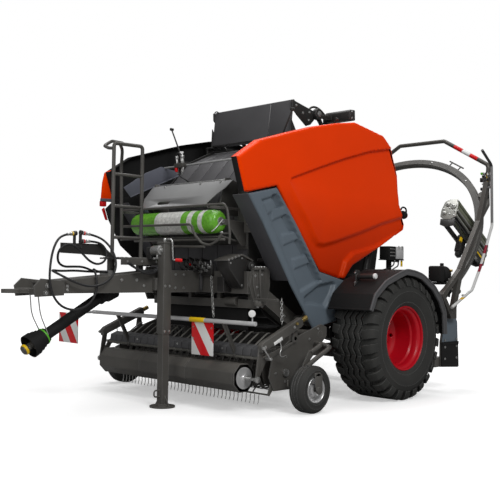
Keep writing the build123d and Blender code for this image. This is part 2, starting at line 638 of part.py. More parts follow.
# Pickup: side plates, stripper bands, back plate and gauge wheel arms
band_out = 168.0
band_in = 161.0
band_count = 20
band_pitch = 95.0
with BuildPart() as band:
    with BuildSketch(Plane.XZ):
        with Locations((reel_x, reel_z)):
            Circle(band_out)
        with Locations((reel_x + 127, reel_z)):
            Rectangle(254, 2 * band_out)
        with Locations((reel_x, reel_z)):
            Circle(band_in, mode=Mode.SUBTRACT)
        with Locations((reel_x + 127, reel_z)):
            Rectangle(255, 2 * band_in, mode=Mode.SUBTRACT)
    extrude(amount=20, both=True)
pickup_line = [(-1440, 180), (-1500, 300), (-1460, 470), (-1250, 600), (-820, 730), (-740, 700), (-740, 620),
               (-960, 420), (-1020, 180)]
gauge_arm_y = gauge_y - gauge_wide / 2 - 26
with BuildPart() as pickup:
    for number in range(band_count):
        y = (number - (band_count - 1) / 2) * band_pitch
        add(band.part.moved(Location((0, y, 0))))
    add(solid_box((reel_x + 251, reel_x + 263), (-pickup_y, pickup_y), (reel_z - band_out, reel_z + band_out + 20)))
    add(solid_box((reel_x + 255, reel_x + 330), (-pickup_y, pickup_y), (reel_z + 100, reel_z + 180)))
    for name, side in sides:
        add(side_plate(pickup_line, *span(side, pickup_y, pickup_y + sheet)))
        add(cross_bar(lift_x, lift_z, span(side, pickup_y - 20, pickup_y + 20), lift_pin_r + pin_play),
            mode=Mode.SUBTRACT)
        add(cross_bar(reel_x, reel_z, span(side, pickup_y - 20, pickup_y), 45))
        add(cross_bar(reel_x, reel_z, span(side, pickup_y - 30, pickup_y - 5), reel_bore), mode=Mode.SUBTRACT)
        add(cross_bar(guard_pivot_x, guard_pivot_z, span(side, pickup_y, arm_y + 20), guard_pin_r))
        add(solid_box((guard_pivot_x - 16, guard_pivot_x + 16), span(side, pickup_y, pickup_y + sheet),
                      (540, guard_pivot_z + 20)))
        add(cross_bar(gauge_x, gauge_r, span(side, gauge_arm_y, gauge_y + 60), gauge_bore - pin_play))
        add(side_plate([(-1250, 165), (-1268, 300), (-1120, 520), (-1080, 500), (-1180, 300), (-1180, 165)],
                       *span(side, gauge_arm_y, gauge_arm_y + sheet)))
        add(bent_tube([(-1100, side * (gauge_arm_y + 6), 500), (-960, side * (gauge_arm_y + 6), 560),
                       (-900, side * pickup_y, 560)], 20, 50))
keep(pickup.part, "pickup_frame")
with BuildPart() as reel:
    add(cross_bar(reel_x, reel_z, (-pickup_y + 8, pickup_y - 8), reel_bore - pin_play))
    add(cross_bar(reel_x, reel_z, (-950, 950), 60))
    for y in (-948, 940):
        add(cross_bar(reel_x, reel_z, (y, y + 8), 150))
    for turn in range(4):
        way = Vector(cos(radians(turn * 90 + 45)), 0, sin(radians(turn * 90 + 45)))
        spot = Vector(reel_x, 0, reel_z) + way * 135
        add(cross_bar(spot.X, spot.Z, (-945, 945), 14))
        for number in range(band_count - 1):
            y = (number - (band_count - 2) / 2) * band_pitch
            low = Vector(reel_x, y, reel_z) + way * 130
            tip = Vector(reel_x, y, reel_z) + way * tine_tip
            add(square_bar(tuple(low), tuple(tip), 9, 9))
keep(reel.part, "pickup_reel")
gauge_half = gauge_wide / 2
gauge_tyre_line = [(gauge_rim_r - 8, -60), (gauge_rim_r + 2, -61), (gauge_rim_r + 2, -71), (gauge_rim_r + 12, -76),
                   (165, -gauge_half), (195, -66), (gauge_r, -45), (gauge_r, 45), (195, 66), (165, gauge_half),
                   (gauge_rim_r + 12, 76), (gauge_rim_r + 2, 71), (gauge_rim_r + 2, 61), (gauge_rim_r - 8, 60)]
gauge_rim_line = [(gauge_rim_r, -68), (gauge_rim_r, -61), (gauge_rim_r - 9, -60), (gauge_rim_r - 9, 60),
                  (gauge_rim_r, 61), (gauge_rim_r, 68), (gauge_rim_r - 16, 66), (gauge_rim_r - 18, 25), (45, 15),
                  (45, 50), (gauge_bore, 50), (gauge_bore, -50), (45, -50), (45, 8), (gauge_rim_r - 18, 12),
                  (gauge_rim_r - 16, -66)]
for name, side in sides:
    hub = (gauge_x, side * gauge_y, gauge_r)
    with BuildPart() as gauge_tyre:
        add(turned(gauge_tyre_line, hub, (0, side, 0), (1, 0, 0)))
    keep(gauge_tyre.part, f"gauge_tyre_{name}")
    with BuildPart() as gauge_rim:
        add(turned(gauge_rim_line, hub, (0, side, 0), (1, 0, 0)))
    keep(gauge_rim.part, f"gauge_rim_{name}")

# Wind guard: cross bar with slanting rods, carried by two arms
guard_rods = 12
guard_rod_pitch = 150.0
with BuildPart() as wind:
    add(cross_bar(guard_bar_x, guard_bar_z, (-arm_y, arm_y), guard_bar_r))
    for number in range(guard_rods):
        y = (number - (guard_rods - 1) / 2) * guard_rod_pitch
        add(square_bar((guard_bar_x, y, guard_bar_z + 4), (-1270, y, 655), 16, 6))
keep(wind.part, "wind_guard")
arm_side = [(-1225, 590), (-1232, 640), (-1170, 645), (-1168, 595), (-1560, 440), (-1670, 280), (-1700, 300),
            (-1595, 485)]
with BuildPart() as arms:
    for name, side in sides:
        add(side_plate(arm_side, *span(side, arm_y, arm_y + 10)))
        add(cross_bar(guard_pivot_x, guard_pivot_z, span(side, arm_y, arm_y + 10), 34))
        add(cross_bar(guard_pivot_x, guard_pivot_z, span(side, arm_y - 5, arm_y + 20), guard_pin_r + pin_play),
            mode=Mode.SUBTRACT)
        add(cross_bar(roller_x, roller_z, span(side, 905, arm_y + 10), journal_r))
        add(side_plate([(-1232, 640), (-1215, 760), (-1180, 770), (-1170, 645)], *span(side, arm_y, arm_y + 10)))
        add(side_plate([(-1655, 600), (-1600, 580), (-1650, 300), (-1700, 300)], *span(side, arm_y, arm_y + 10)))
        add(square_bar((-1195, side * (arm_y + 32), 748), (-1640, side * (arm_y + 32), 562), 54, 60))
keep(arms.part, "roller_arms")

# Marker bar clamped to the wind guard's bar, with its two striped boards
clamp_y = 750.0
board_low = 455.0
with BuildPart() as marker:
    add(cross_bar(marker_x, marker_z, (-1150, 1160), 18))
    for name, side in sides:
        add(square_bar((guard_bar_x, side * clamp_y, guard_bar_z), (marker_x, side * clamp_y, marker_z), 40, 20))
        add(cross_bar(guard_bar_x, guard_bar_z, span(side, clamp_y - 20, clamp_y + 20), 28))
    add(cross_bar(guard_bar_x, guard_bar_z, (-arm_y, arm_y), guard_bar_r + pin_play), mode=Mode.SUBTRACT)
    add(solid_box((marker_x + 15, marker_x + 23), (-600, -330), (board_low, marker_z)))
    add(solid_box((marker_x - 210, marker_x), (1110, 1140), (marker_z - 12, marker_z + 12)))
    add(solid_box((marker_x - 210, marker_x - 202), (1110, 1450), (board_low, marker_z)))
keep(marker.part, "marker_bar")
with BuildPart() as roller:
    with BuildSketch(Plane.XZ.offset(-950)):
        with Locations((roller_x, roller_z)):
            RegularPolygon(118, 8)
    extrude(amount=1900)
    for side in (-1, 1):
        add(cross_bar(roller_x, roller_z, span(side, 949, 956), 108))
        add(cross_bar(roller_x, roller_z, span(side, 900, 1010), journal_r + pin_play), mode=Mode.SUBTRACT)
keep(roller.part, "press_roller")

# Binding roll on two spigots, its holder and the lid above
with BuildPart() as roll:
    add(turned([(spigot_r + pin_play, -roll_half), (70, -roll_half), (roll_r - 8, -roll_half + 8),
                (roll_r, -roll_half + 24), (roll_r, roll_half - 24), (roll_r - 8, roll_half - 8), (70, roll_half),
                (spigot_r + pin_play, roll_half)], (roll_x, 0, roll_z), (0, 1, 0), (1, 0, 0)))
keep(roll.part, "binding_roll")
cheek_y = roll_half + seam + 1
lid_ear_y = lid_half + 2
bar_x = -1800.0
with BuildPart() as roll_holder:
    for name, side in sides:
        add(side_plate([(-1325, 1400), (-1325, 1760), (-1560, 1760), (-1690, 1680), (-1690, 1590), (-1560, 1480)],
                       *span(side, cheek_y, cheek_y + 10)))
        add(cross_bar(roll_x, roll_z, span(side, cheek_y - 24, cheek_y), spigot_r))
        add(side_plate([(-1325, 1760), (-1325, 2000), (-1440, 2040), (-1500, 2040), (-1500, 1990), (-1610, 1815),
                        (-1560, 1760)], *span(side, lid_ear_y, lid_ear_y + 10)))
        add(cross_bar(lid_x, lid_z, span(side, lid_ear_y - 2, lid_ear_y + 20), lid_rod_r + pin_play),
            mode=Mode.SUBTRACT)
        add(solid_box((-1400, -1320), span(side, lid_ear_y, cheek_y + 10), (1740, 1760)))
        add(solid_box((-1332, -1320), span(side, lid_ear_y, wall_out), (1400, 2000)))
        add(solid_box((bar_x - 8, -1550), span(side, cheek_y, cheek_y + 10), (1740, 1760)))
    add(side_plate([(-1600, 1500), (-1320, 1440), (-1320, 1452), (-1600, 1512)], -cheek_y, cheek_y))
    add(bent_tube([(bar_x, cheek_y + 5, 1767), (bar_x, -803, 1769), (bar_x, -845, 1719), (bar_x, -878, 1516)],
                  11, 20))
    add(bent_tube([(bar_x, 639, 1614), (bar_x, -386, 1607), (bar_x, -432, 1517), (bar_x, -522, 1440),
                   (bar_x, -632, 1418), (bar_x, -739, 1462), (bar_x, -779, 1518)], 11, 20))
    add(cross_bar(bar_x, 1516, (-878, -776), 8))
    add(solid_box((bar_x - 8, -1680), (cheek_y, cheek_y + 10), (1602, 1626)))
    add(side_plate([(-1841, 1986), (-1759, 1900), (-1157, 2159), (-1247, 2219), (-1384, 2230), (-1577, 2149)],
                   545, 555))
    add(solid_box((-1435, -1405), (lid_ear_y + 2, 548), (2015, 2062)))
keep(roll_holder.part, "roll_holder")
with BuildPart() as lid:
    add(side_plate([(-1480, 2020), (-1668, 1800), (-1676, 1806), (-1488, 2026)], -lid_half, lid_half))
    add(cross_bar(lid_x, lid_z, (-lid_ear_y - 8, lid_ear_y + 8), lid_rod_r))
keep(lid.part, "roll_lid")

# Feed plate on top of the chamber
flap_half = 550.0
with BuildPart() as flap:
    add(side_plate([(-690, 2520), (-648, 2880), (-636, 2880), (-676, 2520)], -flap_half, flap_half))
    for side in (-1, 1):
        add(side_plate([(-700, 2500), (-690, 2700), (-600, 2560), (-560, 2500)],
                       *span(side, flap_half, flap_half + 10)))
        add(solid_box((-700, -600), span(side, flap_half, wall_out + 10), (2495, 2507)))
        add(solid_box((-690, -620), span(side, wall_out, wall_out + 10), (2380, 2500)))
        add(side_plate([(-675, 2870), (-340, 2800), (-290, 2775), (-330, 2730), (-400, 2660), (-460, 2640),
                        (-600, 2730), (-672, 2790)], *span(side, flap_half - 5, flap_half + 14)))
        add(cross_bar(-324, 2772, span(side, flap_half + 10, 600), 57, 30))
        add(square_bar((-300, side * 587, 2745), (-140, side * 587, 2520), 20, 30))
        add(solid_box((-160, -120), span(side, 580, wall_in), (2500, 2545)))
    add(side_plate([(-300, 2735), (-300, 2770), (-90, 2790), (-90, 2745)], -592, -572))
    add(solid_box((-100, -10), (-820, -500), (2720, 2830)))
keep(flap.part, "top_plate")

# Wrapping ring: a point by angle from its top towards the left, radius and distance along its axis
ring_axis = Vector(cos(radians(ring_lean)), 0, -sin(radians(ring_lean)))
ring_up = Vector(sin(radians(ring_lean)), 0, cos(radians(ring_lean)))
ring_centre = Vector(ring_x, 0, ring_z)


def ring_point(angle, radius, along=0.0):
    out = ring_up * cos(radians(angle)) + Vector(0, -1, 0) * sin(radians(angle))
    return tuple(ring_centre + out * radius + ring_axis * along)


ring_plane = Plane(origin=ring_centre, x_dir=(0, 1, 0), z_dir=ring_axis)
with BuildPart(ring_plane) as ring:
    Cylinder(ring_out, ring_thick)
    Cylinder(ring_in, ring_thick, mode=Mode.SUBTRACT)
keep(ring.part, "wrap_ring")
with BuildPart() as ring_seat:
    Cylinder(ring_out, ring_thick + 60)
    Cylinder(ring_in - pin_play, ring_thick + 60, mode=Mode.SUBTRACT)

# Film dispensers on the ring: (radial, along the rim) places of the cross rods and of the film rollers
rod_places = ((1075, -165), (1180, -150), (1180, 130))
film_rollers = ((1085, -95), (1105, 5), (1075, 95))
for name, angle in (("left", 83), ("right", 263)):
    out = Vector(*ring_point(angle, 1)) - ring_centre
    with BuildPart(Plane(origin=ring_centre, x_dir=out, z_dir=ring_axis)) as dispenser:
        for along in (-film_half, film_half - sheet):
            with BuildSketch(Plane(origin=ring_centre + ring_axis * along, x_dir=out, z_dir=ring_axis)):
                with BuildLine():
                    Polyline((1030, -60), (1050, -190), (1200, -190), (1205, -40), (1205, 40), (1195, 155),
                             (1100, 155), (1030, 110), close=True)
                make_face()
            extrude(amount=sheet)
        for radial, across in rod_places:
            with Locations((radial, across, 0)):
                Cylinder(12, 2 * film_half - sheet)
        for radial, across in film_rollers:
            with Locations((radial, across, 0)):
                Cylinder(36, 2 * film_half - sheet)
        with Locations((1178, -10, 0)):
            Box(50, 50, 2 * film_half - sheet)
        with Locations((1215, -10, 0)):
            Box(60, 120, ring_thick)
        add(ring_seat.part, mode=Mode.SUBTRACT)
    keep(dispenser.part, f"dispenser_{name}")

# Fixed wrapper frame: plates, stands, guide rollers and rear hoop
post_line = ((921, 800), (1074, 1243), (1462, 1766), (1631, 2203))
hoop_x = tail_x - hoop_r
hoop_half = [(1480, stand_y, 1790), (1850, 1270, 1980), (hoop_x, 925, 2300), (hoop_x, 940, 2520),
             (hoop_x, 330, 2870)]
hoop_line = hoop_half + [(x, -y, z) for x, y, z in reversed(hoop_half)]
guide_out = ring_out + guide_r + pin_play
with BuildPart() as wrapper:
    for name, side in sides:
        add(side_plate([(780, 250), (1123, 226), (1096, 700), (990, 860), (860, 860), (780, 500)],
                       *span(side, 1320, 1335)))
        for first, second in zip(post_line, post_line[1:]):
            add(square_bar((first[0], side * stand_y, first[1]), (second[0], side * stand_y, second[1]), 50, 60))
        add(solid_box((870, 980), span(side, 1330, 1400), (740, 850)))
        add(square_bar((713, side * stand_y, 972), (1113, side * stand_y, 1272), 50, 50))
        add(square_bar((713, side * stand_y, 990), (880, side * stand_y, 780), 50, 50))
        for angle in (60, 115, 165):
            add(round_bar(ring_point(-side * angle, guide_out, -50), ring_point(-side * angle, guide_out, 50),
                          guide_r))
        add(round_bar(ring_point(-side * 60, guide_out, 40), ring_point(-side * 60, guide_out + 12, 80), 14))
        add(round_bar(ring_point(-side * 115, guide_out, -70), ring_point(-side * 115, guide_out, -40), 14))
        start = ring_point(-side * 115, guide_out, -64)
        add(square_bar(start, (1070, side * stand_y, 1200), 40, 16))
        add(round_bar(ring_point(-side * 165, guide_out, -70), ring_point(-side * 165, guide_out, -40), 14))
        foot = ring_point(-side * 165, guide_out, -62)
        add(solid_box((foot[0] - 7, foot[0] + 7), (foot[1] - 25, foot[1] + 25), (member_top, foot[2] + 18)))
    add(bent_tube(hoop_line, hoop_r, 60))
keep(wrapper.part, "wrapper_frame")
with BuildPart() as cutters:
    for name, side in sides:
        add(side_plate([(1560, 2190), (1640, 2330), (1750, 2320), (1810, 2180), (1760, 2050), (1690, 2030),
                        (1640, 2090)], *span(side, stand_y - 80, stand_y - 25)))
keep(cutters.part, "film_cutters")
for name, side in sides:
    y = side * pole_y
    with BuildPart() as pole:
        add(bent_tube([(1395, y, 2531), (1602, y, 2391), (1623, y, 1735), (1370, y, 1269), (1205, y, 1036),
                       (800, y, 860)], 15, 60))
        for x, z in ((1075, 980), (1609, 2150)):
            add(cross_bar(x, z, span(side, stand_y + 25, pole_y), 12))
    keep(pole.part, f"side_pole_{name}")

# Wrapping table
with BuildPart() as table:
    for name, side in sides:
        add(side_plate([(580, 1015), (580, 1060), (640, 1070), (1080, 1075), (1840, 860), (1840, 810), (1080, 985),
                        (640, 1015)], *span(side, 440, 460)))
        add(cross_bar(table_x, table_z, span(side, 440, 700), table_pin_r))
    for x, z in ((1080, 1060), (1800, 850)):
        add(cross_bar(x, z, (-440, 440), 60))
    add(cross_bar(table_x, table_z, (-440, 440), table_pin_r))
keep(table.part, "wrapping_table")

# Control box on an arm from the left table post
with BuildPart() as control:
    add(solid_box((430, 700), (-940, -800), (1335, 1480)))
    add(solid_box((540, 600), (-850, -820), (1240, 1335)))
    add(solid_box((560, 600), (-850, -beam_out), (1200, 1240)))
keep(control.part, "control_box")

# Locker beside the left stand, behind the fender
with BuildPart() as locker:
    for name, side in sides:
        add(solid_box((760, 1000), span(side, 1180, stand_y - 25), (1090, 1290)))
keep(locker.part, "rear_lockers")
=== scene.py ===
import math

import bpy
import numpy as np
from mathutils import Matrix, Vector


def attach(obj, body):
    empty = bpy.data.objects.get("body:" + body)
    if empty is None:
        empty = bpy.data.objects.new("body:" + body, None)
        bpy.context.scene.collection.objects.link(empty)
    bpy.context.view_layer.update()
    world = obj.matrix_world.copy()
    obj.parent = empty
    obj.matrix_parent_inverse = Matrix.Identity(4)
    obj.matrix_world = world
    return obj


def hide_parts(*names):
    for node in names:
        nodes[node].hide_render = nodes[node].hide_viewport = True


# Round baler with a ring wrapper: its finishes, dressed pieces, hoses, camera and light.
# Metres. Places are given from the main axle, as in the CAD source, and at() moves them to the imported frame.
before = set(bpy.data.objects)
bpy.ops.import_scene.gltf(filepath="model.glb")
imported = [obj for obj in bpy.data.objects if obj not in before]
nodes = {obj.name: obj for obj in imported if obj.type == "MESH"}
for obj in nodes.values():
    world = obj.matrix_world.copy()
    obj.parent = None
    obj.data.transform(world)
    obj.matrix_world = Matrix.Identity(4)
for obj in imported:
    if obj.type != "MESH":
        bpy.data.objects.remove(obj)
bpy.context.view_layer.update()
axle_x = 0.45
along_y = Vector((0, 1, 0))
forward = Vector((-1, 0, 0))
mirror = Matrix.Scale(-1, 4, along_y)


def at(x, y, z):
    return Vector((x + axle_x, y, z))


# Camera
camera_place = (-6.657, -5.870, 1.203)
camera_turn = math.radians(-45.62)
camera_pitch = math.radians(1.443)
camera_roll = math.radians(0.813)
camera_lens = 59.67
ahead = Vector((-math.sin(camera_turn) * math.cos(camera_pitch),
                math.cos(camera_turn) * math.cos(camera_pitch), math.sin(camera_pitch)))
level = Vector((math.cos(camera_turn), math.sin(camera_turn), 0))
upward = level.cross(ahead)
image_right = level * math.cos(camera_roll) + upward * math.sin(camera_roll)
image_up = upward * math.cos(camera_roll) - level * math.sin(camera_roll)
camera_data = bpy.data.cameras.new("camera")
camera_data.lens = camera_lens
camera_data.sensor_width = 36
camera = bpy.data.objects.new("camera", camera_data)
bpy.context.scene.collection.objects.link(camera)
camera.matrix_world = Matrix.Translation(at(*camera_place)) @ Matrix(
    (image_right, image_up, -ahead)).transposed().to_4x4()
bpy.context.scene.camera = camera


# Finishes
class Finish:
    """A material built node by node round its shader."""

    def __init__(self, name, rough, metal=0.0, coat=0.0, sheen=0.28):
        self.material = bpy.data.materials.new(name)
        self.material.use_nodes = True
        self.tree = self.material.node_tree
        self.shader = self.tree.nodes["Principled BSDF"]
        self.shader.inputs["Roughness"].default_value = rough
        self.shader.inputs["Metallic"].default_value = metal
        self.shader.inputs["Coat Weight"].default_value = coat
        self.shader.inputs["Coat Roughness"].default_value = 0.15
        self.shader.inputs["Specular IOR Level"].default_value = sheen
        self.place = self.node("ShaderNodeTexCoord").outputs["Object"]

    def node(self, kind, inputs=None, **settings):
        made = self.tree.nodes.new(kind)
        for name, value in settings.items():
            setattr(made, name, value)
        for key, value in (inputs or {}).items():
            if isinstance(value, bpy.types.NodeSocket):
                self.tree.links.new(value, made.inputs[key])
            else:
                made.inputs[key].default_value = value
        return made

    def noise(self, scale, detail=3.0, place=None):
        return self.node("ShaderNodeTexNoise", {"Vector": place or self.place, "Scale": scale,
                                                "Detail": detail}).outputs["Fac"]

    def sum(self, operation, first, second=0.0, third=0.0):
        made = self.node("ShaderNodeMath", {0: first, 1: second, 2: third}, operation=operation)
        return made.outputs[0]

    def between(self, value, low, high, to_low=0.0, to_high=1.0):
        made = self.node("ShaderNodeMapRange", {"Value": value, "From Min": low, "From Max": high,
                                                "To Min": to_low, "To Max": to_high})
        return made.outputs["Result"]

    def mix(self, share, first, second):
        return self.node("ShaderNodeMix", {0: share, 6: first, 7: second}, data_type="RGBA").outputs[2]

    def parts(self, vector=None):
        return self.node("ShaderNodeSeparateXYZ", {0: vector or self.place}).outputs

    def give(self, socket, value):
        self.tree.links.new(value, self.shader.inputs[socket])

    def bands(self, value, low, high, stops):
        """Flat colours that change at set places along a value."""
        ramp = self.node("ShaderNodeValToRGB", {0: self.between(value, low, high)})
        ramp.color_ramp.interpolation = "CONSTANT"
        marks = ramp.color_ramp.elements
        for number, (edge, colour) in enumerate(stops):
            share = (edge - low) / (high - low)
            mark = marks[0] if number < 1 else marks.new(share)
            mark.position = share
            mark.color = colour
        marks.remove(marks[len(marks) - 1])
        return ramp.outputs[0]

    def relief(self, height, deep):
        made = self.node("ShaderNodeBump", {"Height": height, "Distance": deep, "Strength": 1.0})
        self.give("Normal", made.outputs["Normal"])


def shade(colour, share):
    return tuple(part * share for part in colour) + (1.0,)


def coated(name, colour, rough, metal=0.0, coat=0.0, mottle=0.12, grain=90.0, peel=0.0003, edge=0.0, dust=0.0,
           sheen=0.28):
    """Paint, plastic or metal with patches of tone, fine grain, painted highlights along the edges and dust on
    what faces up.
    """
    made = Finish(name, rough, metal, coat, sheen)
    patches = made.between(made.noise(2.4, 5.0), 0.3, 0.7)
    tone = made.mix(patches, shade(colour, 1 - mottle), shade(colour, 1 + mottle))
    # Painted highlight: edge sets how much the colour is lightened where the Bevel normal turns from the face
    # normal, along edges and corners.
    if edge > 0:
        rounded = made.node("ShaderNodeBevel", {"Radius": 0.008}, samples=4).outputs["Normal"]
        flat = made.node("ShaderNodeNewGeometry").outputs["Normal"]
        same = made.node("ShaderNodeVectorMath", {0: rounded, 1: flat},
                         operation="DOT_PRODUCT").outputs["Value"]
        painted_edge_highlight = made.between(same, 0.98, 0.80, 0.0, edge)
        tone = made.mix(painted_edge_highlight, tone, shade(tuple(part * 0.6 + 0.16 for part in colour), 1.0))
    if dust > 0:
        facing = made.parts(made.node("ShaderNodeNewGeometry").outputs["Normal"])["Z"]
        settled = made.sum("MULTIPLY", made.between(facing, 0.5, 1.0),
                           made.between(made.noise(9.0, 6.0), 0.4, 0.7))
        tone = made.mix(made.sum("MULTIPLY", settled, dust), tone, (0.30, 0.27, 0.23, 1.0))
    made.give("Base Color", tone)
    fine = made.noise(grain, 2.0)
    made.give("Roughness", made.between(fine, 0.3, 0.7, max(rough - 0.07, 0.05), min(rough + 0.09, 1.0)))
    made.relief(fine, peel)
    return made


orange_paint = coated("orange_paint", (0.90, 0.047, 0.0002), 0.45, coat=0.02, mottle=0.03, grain=140,
                      peel=0.0001)
orange_paint.shader.inputs["Specular Tint"].default_value = (1.0, 0.36, 0.10, 1)
# Painted shade: the orange is mixed towards a dark orange from z 1.95 down to z 1.15, so the lower door is
# darker in colour, as if shaded.
unshaded_orange = orange_paint.shader.inputs["Base Color"].links[0].from_socket
height = orange_paint.between(orange_paint.parts()["Z"], 1.15, 1.95)
orange_paint.give("Base Color", orange_paint.mix(height, (0.50, 0.022, 0.0003, 1), unshaded_orange))
guard_paint = coated("guard_paint", (0.120, 0.150, 0.178), 0.45, coat=0.06, mottle=0.04, grain=160,
                     peel=0.0001)
# The edge values below set the strength of the painted edge highlight.
frame_paint = coated("frame_paint", (0.084, 0.080, 0.073), 0.45, coat=0.1, mottle=0.22, edge=0.8, dust=0.2)
black_paint = coated("black_paint", (0.024, 0.023, 0.022), 0.42, coat=0.08, mottle=0.18, edge=0.6, dust=0.1)
dark_steel = coated("dark_steel", (0.085, 0.080, 0.073), 0.40, metal=0.3, mottle=0.2, edge=0.8, dust=0.1)
bare_steel = coated("bare_steel", (0.52, 0.52, 0.51), 0.30, metal=0.9, mottle=0.12, grain=200)
rim_paint = coated("rim_paint", (0.52, 0.004, 0.014), 0.38, coat=0.12, mottle=0.04, grain=160, peel=0.0001)
silver_paint = coated("silver_paint", (0.62, 0.62, 0.62), 0.35, metal=0.5, mottle=0.06)
lid_paint = coated("lid_paint", (0.30, 0.30, 0.300), 0.45, coat=0.05, mottle=0.10, edge=0.3)
tyre_rubber = coated("tyre_rubber", (0.033, 0.033, 0.031), 0.70, mottle=0.2, grain=300, peel=0.0004, edge=0.7,
                     dust=0.1)
hood_plastic = coated("hood_plastic", (0.085, 0.083, 0.087), 0.52, mottle=0.12, grain=420, peel=0.0006)
guard_plastic = coated("guard_plastic", (0.016, 0.016, 0.016), 0.62, sheen=0.10, mottle=0.1, grain=260)
box_plastic = coated("box_plastic", (0.50, 0.50, 0.50), 0.5, mottle=0.05)
red_plastic = coated("red_plastic", (0.65, 0.008, 0.010), 0.35, mottle=0.05)
yellow_plastic = coated("yellow_plastic", (0.85, 0.55, 0.01), 0.4, mottle=0.05)
green_plastic = coated("green_plastic", (0.10, 0.42, 0.03), 0.4, mottle=0.05)
white_paint = coated("white_paint", (0.80, 0.80, 0.79), 0.4, mottle=0.04)
hose_rubber = coated("hose_rubber", (0.022, 0.022, 0.023), 0.50, mottle=0.15, grain=500)
film_metal = coated("film_metal", (0.40, 0.40, 0.37), 0.38, metal=0.6, mottle=0.10)
inner_plastic = coated("inner_plastic", (0.072, 0.072, 0.078), 0.5, mottle=0.06, grain=200)
rod_paint = coated("rod_paint", (0.16, 0.155, 0.14), 0.42, mottle=0.15, edge=0.5)
lip_plastic = coated("lip_plastic", (0.085, 0.085, 0.088), 0.5, mottle=0.06, grain=200)
wing_paint = coated("wing_paint", (0.105, 0.110, 0.135), 0.42, mottle=0.05, grain=160)
film_olive = coated("film_olive", (0.16, 0.17, 0.12), 0.42, mottle=0.10)
brass = coated("brass", (0.48, 0.36, 0.13), 0.32, metal=0.9, mottle=0.08)


def roll_finish():
    """Green and white bands across the roll under a clear wrap with fine ribs."""
    made = Finish("roll_wrap", 0.25, coat=0.5)
    y = made.parts()["Y"]
    waver = made.sum("MULTIPLY_ADD", made.noise(6.0), 0.03, made.sum("SUBTRACT", y, 0.015))
    green, white = (0.16, 0.50, 0.035, 1), (0.78, 0.78, 0.74, 1)
    colours = made.bands(waver, -0.60, 0.60,
                         ((-0.60, green), (-0.46, white), (-0.405, green), (-0.325, white), (-0.255, green),
                          (-0.175, white), (0.20, green)))
    patches = made.between(made.noise(38.0, 6.0), 0.35, 0.7, 0.72, 1.08)
    grey = made.node("ShaderNodeCombineColor", {0: patches, 1: patches, 2: patches}).outputs[0]
    tone = made.node("ShaderNodeMix", {0: 1.0, 6: colours, 7: grey}, data_type="RGBA",
                     blend_type="MULTIPLY").outputs[2]
    made.give("Base Color", tone)
    net = made.node("ShaderNodeTexWave", {"Vector": made.place, "Scale": 60.0, "Distortion": 2.0},
                    bands_direction="DIAGONAL").outputs["Fac"]
    made.relief(net, 0.0008)
    return made


def board_finish():
    """Red and white diagonal stripes of a marker board."""
    made = Finish("board_stripes", 0.3, coat=0.2)
    where = made.parts()
    slant = made.sum("MULTIPLY_ADD", where["Y"], -1.37, made.sum("SUBTRACT", where["Z"], 1.077))
    stripe = made.sum("GREATER_THAN", made.sum("FRACT", made.sum("DIVIDE", slant, 0.33)), 0.5)
    made.give("Base Color", made.mix(stripe, (0.72, 0.01, 0.015, 1), (0.82, 0.82, 0.80, 1)))
    made.relief(made.noise(200.0), 0.0001)
    return made


def pole_finish():
    """Dark top, grey middle and light lower part with two dark red bands and a yellow one, by height."""
    made = Finish("pole_bands", 0.35, coat=0.1)
    light, red, grey = (0.60, 0.60, 0.59, 1), (0.24, 0.008, 0.025, 1), (0.20, 0.20, 0.20, 1)
    yellow, black = (0.75, 0.45, 0.02, 1), (0.03, 0.03, 0.03, 1)
    stops = ((0.80, light), (0.935, yellow), (0.960, light), (1.224, red), (1.309, light), (1.421, red),
             (1.514, light), (1.76, grey), (2.37, black))
    made.give("Base Color", made.bands(made.parts()["Z"], 0.80, 2.60, stops))
    made.relief(made.noise(150.0), 0.0001)
    return made


def belt_finish():
    """Black ribbed belts that lie side by side across the chamber."""
    made = Finish("belt_rubber", 0.55)
    y = made.parts()["Y"]
    made.give("Base Color",
              made.mix(made.noise(20.0, 5.0), (0.016, 0.016, 0.017, 1), (0.034, 0.034, 0.036, 1)))
    gap = made.sum("GREATER_THAN", made.sum("PINGPONG", made.sum("ADD", y, 1.2), 0.12), 0.007)
    ribs = made.node("ShaderNodeTexWave", {"Vector": made.place, "Scale": 14.0},
                     bands_direction="Z").outputs["Fac"]
    made.relief(made.sum("MULTIPLY", gap, made.sum("ADD", made.sum("MULTIPLY", ribs, 0.25), 1.0)), 0.006)
    return made


roll_wrap = roll_finish()
board_stripes = board_finish()
pole_bands = pole_finish()
belt_rubber = belt_finish()

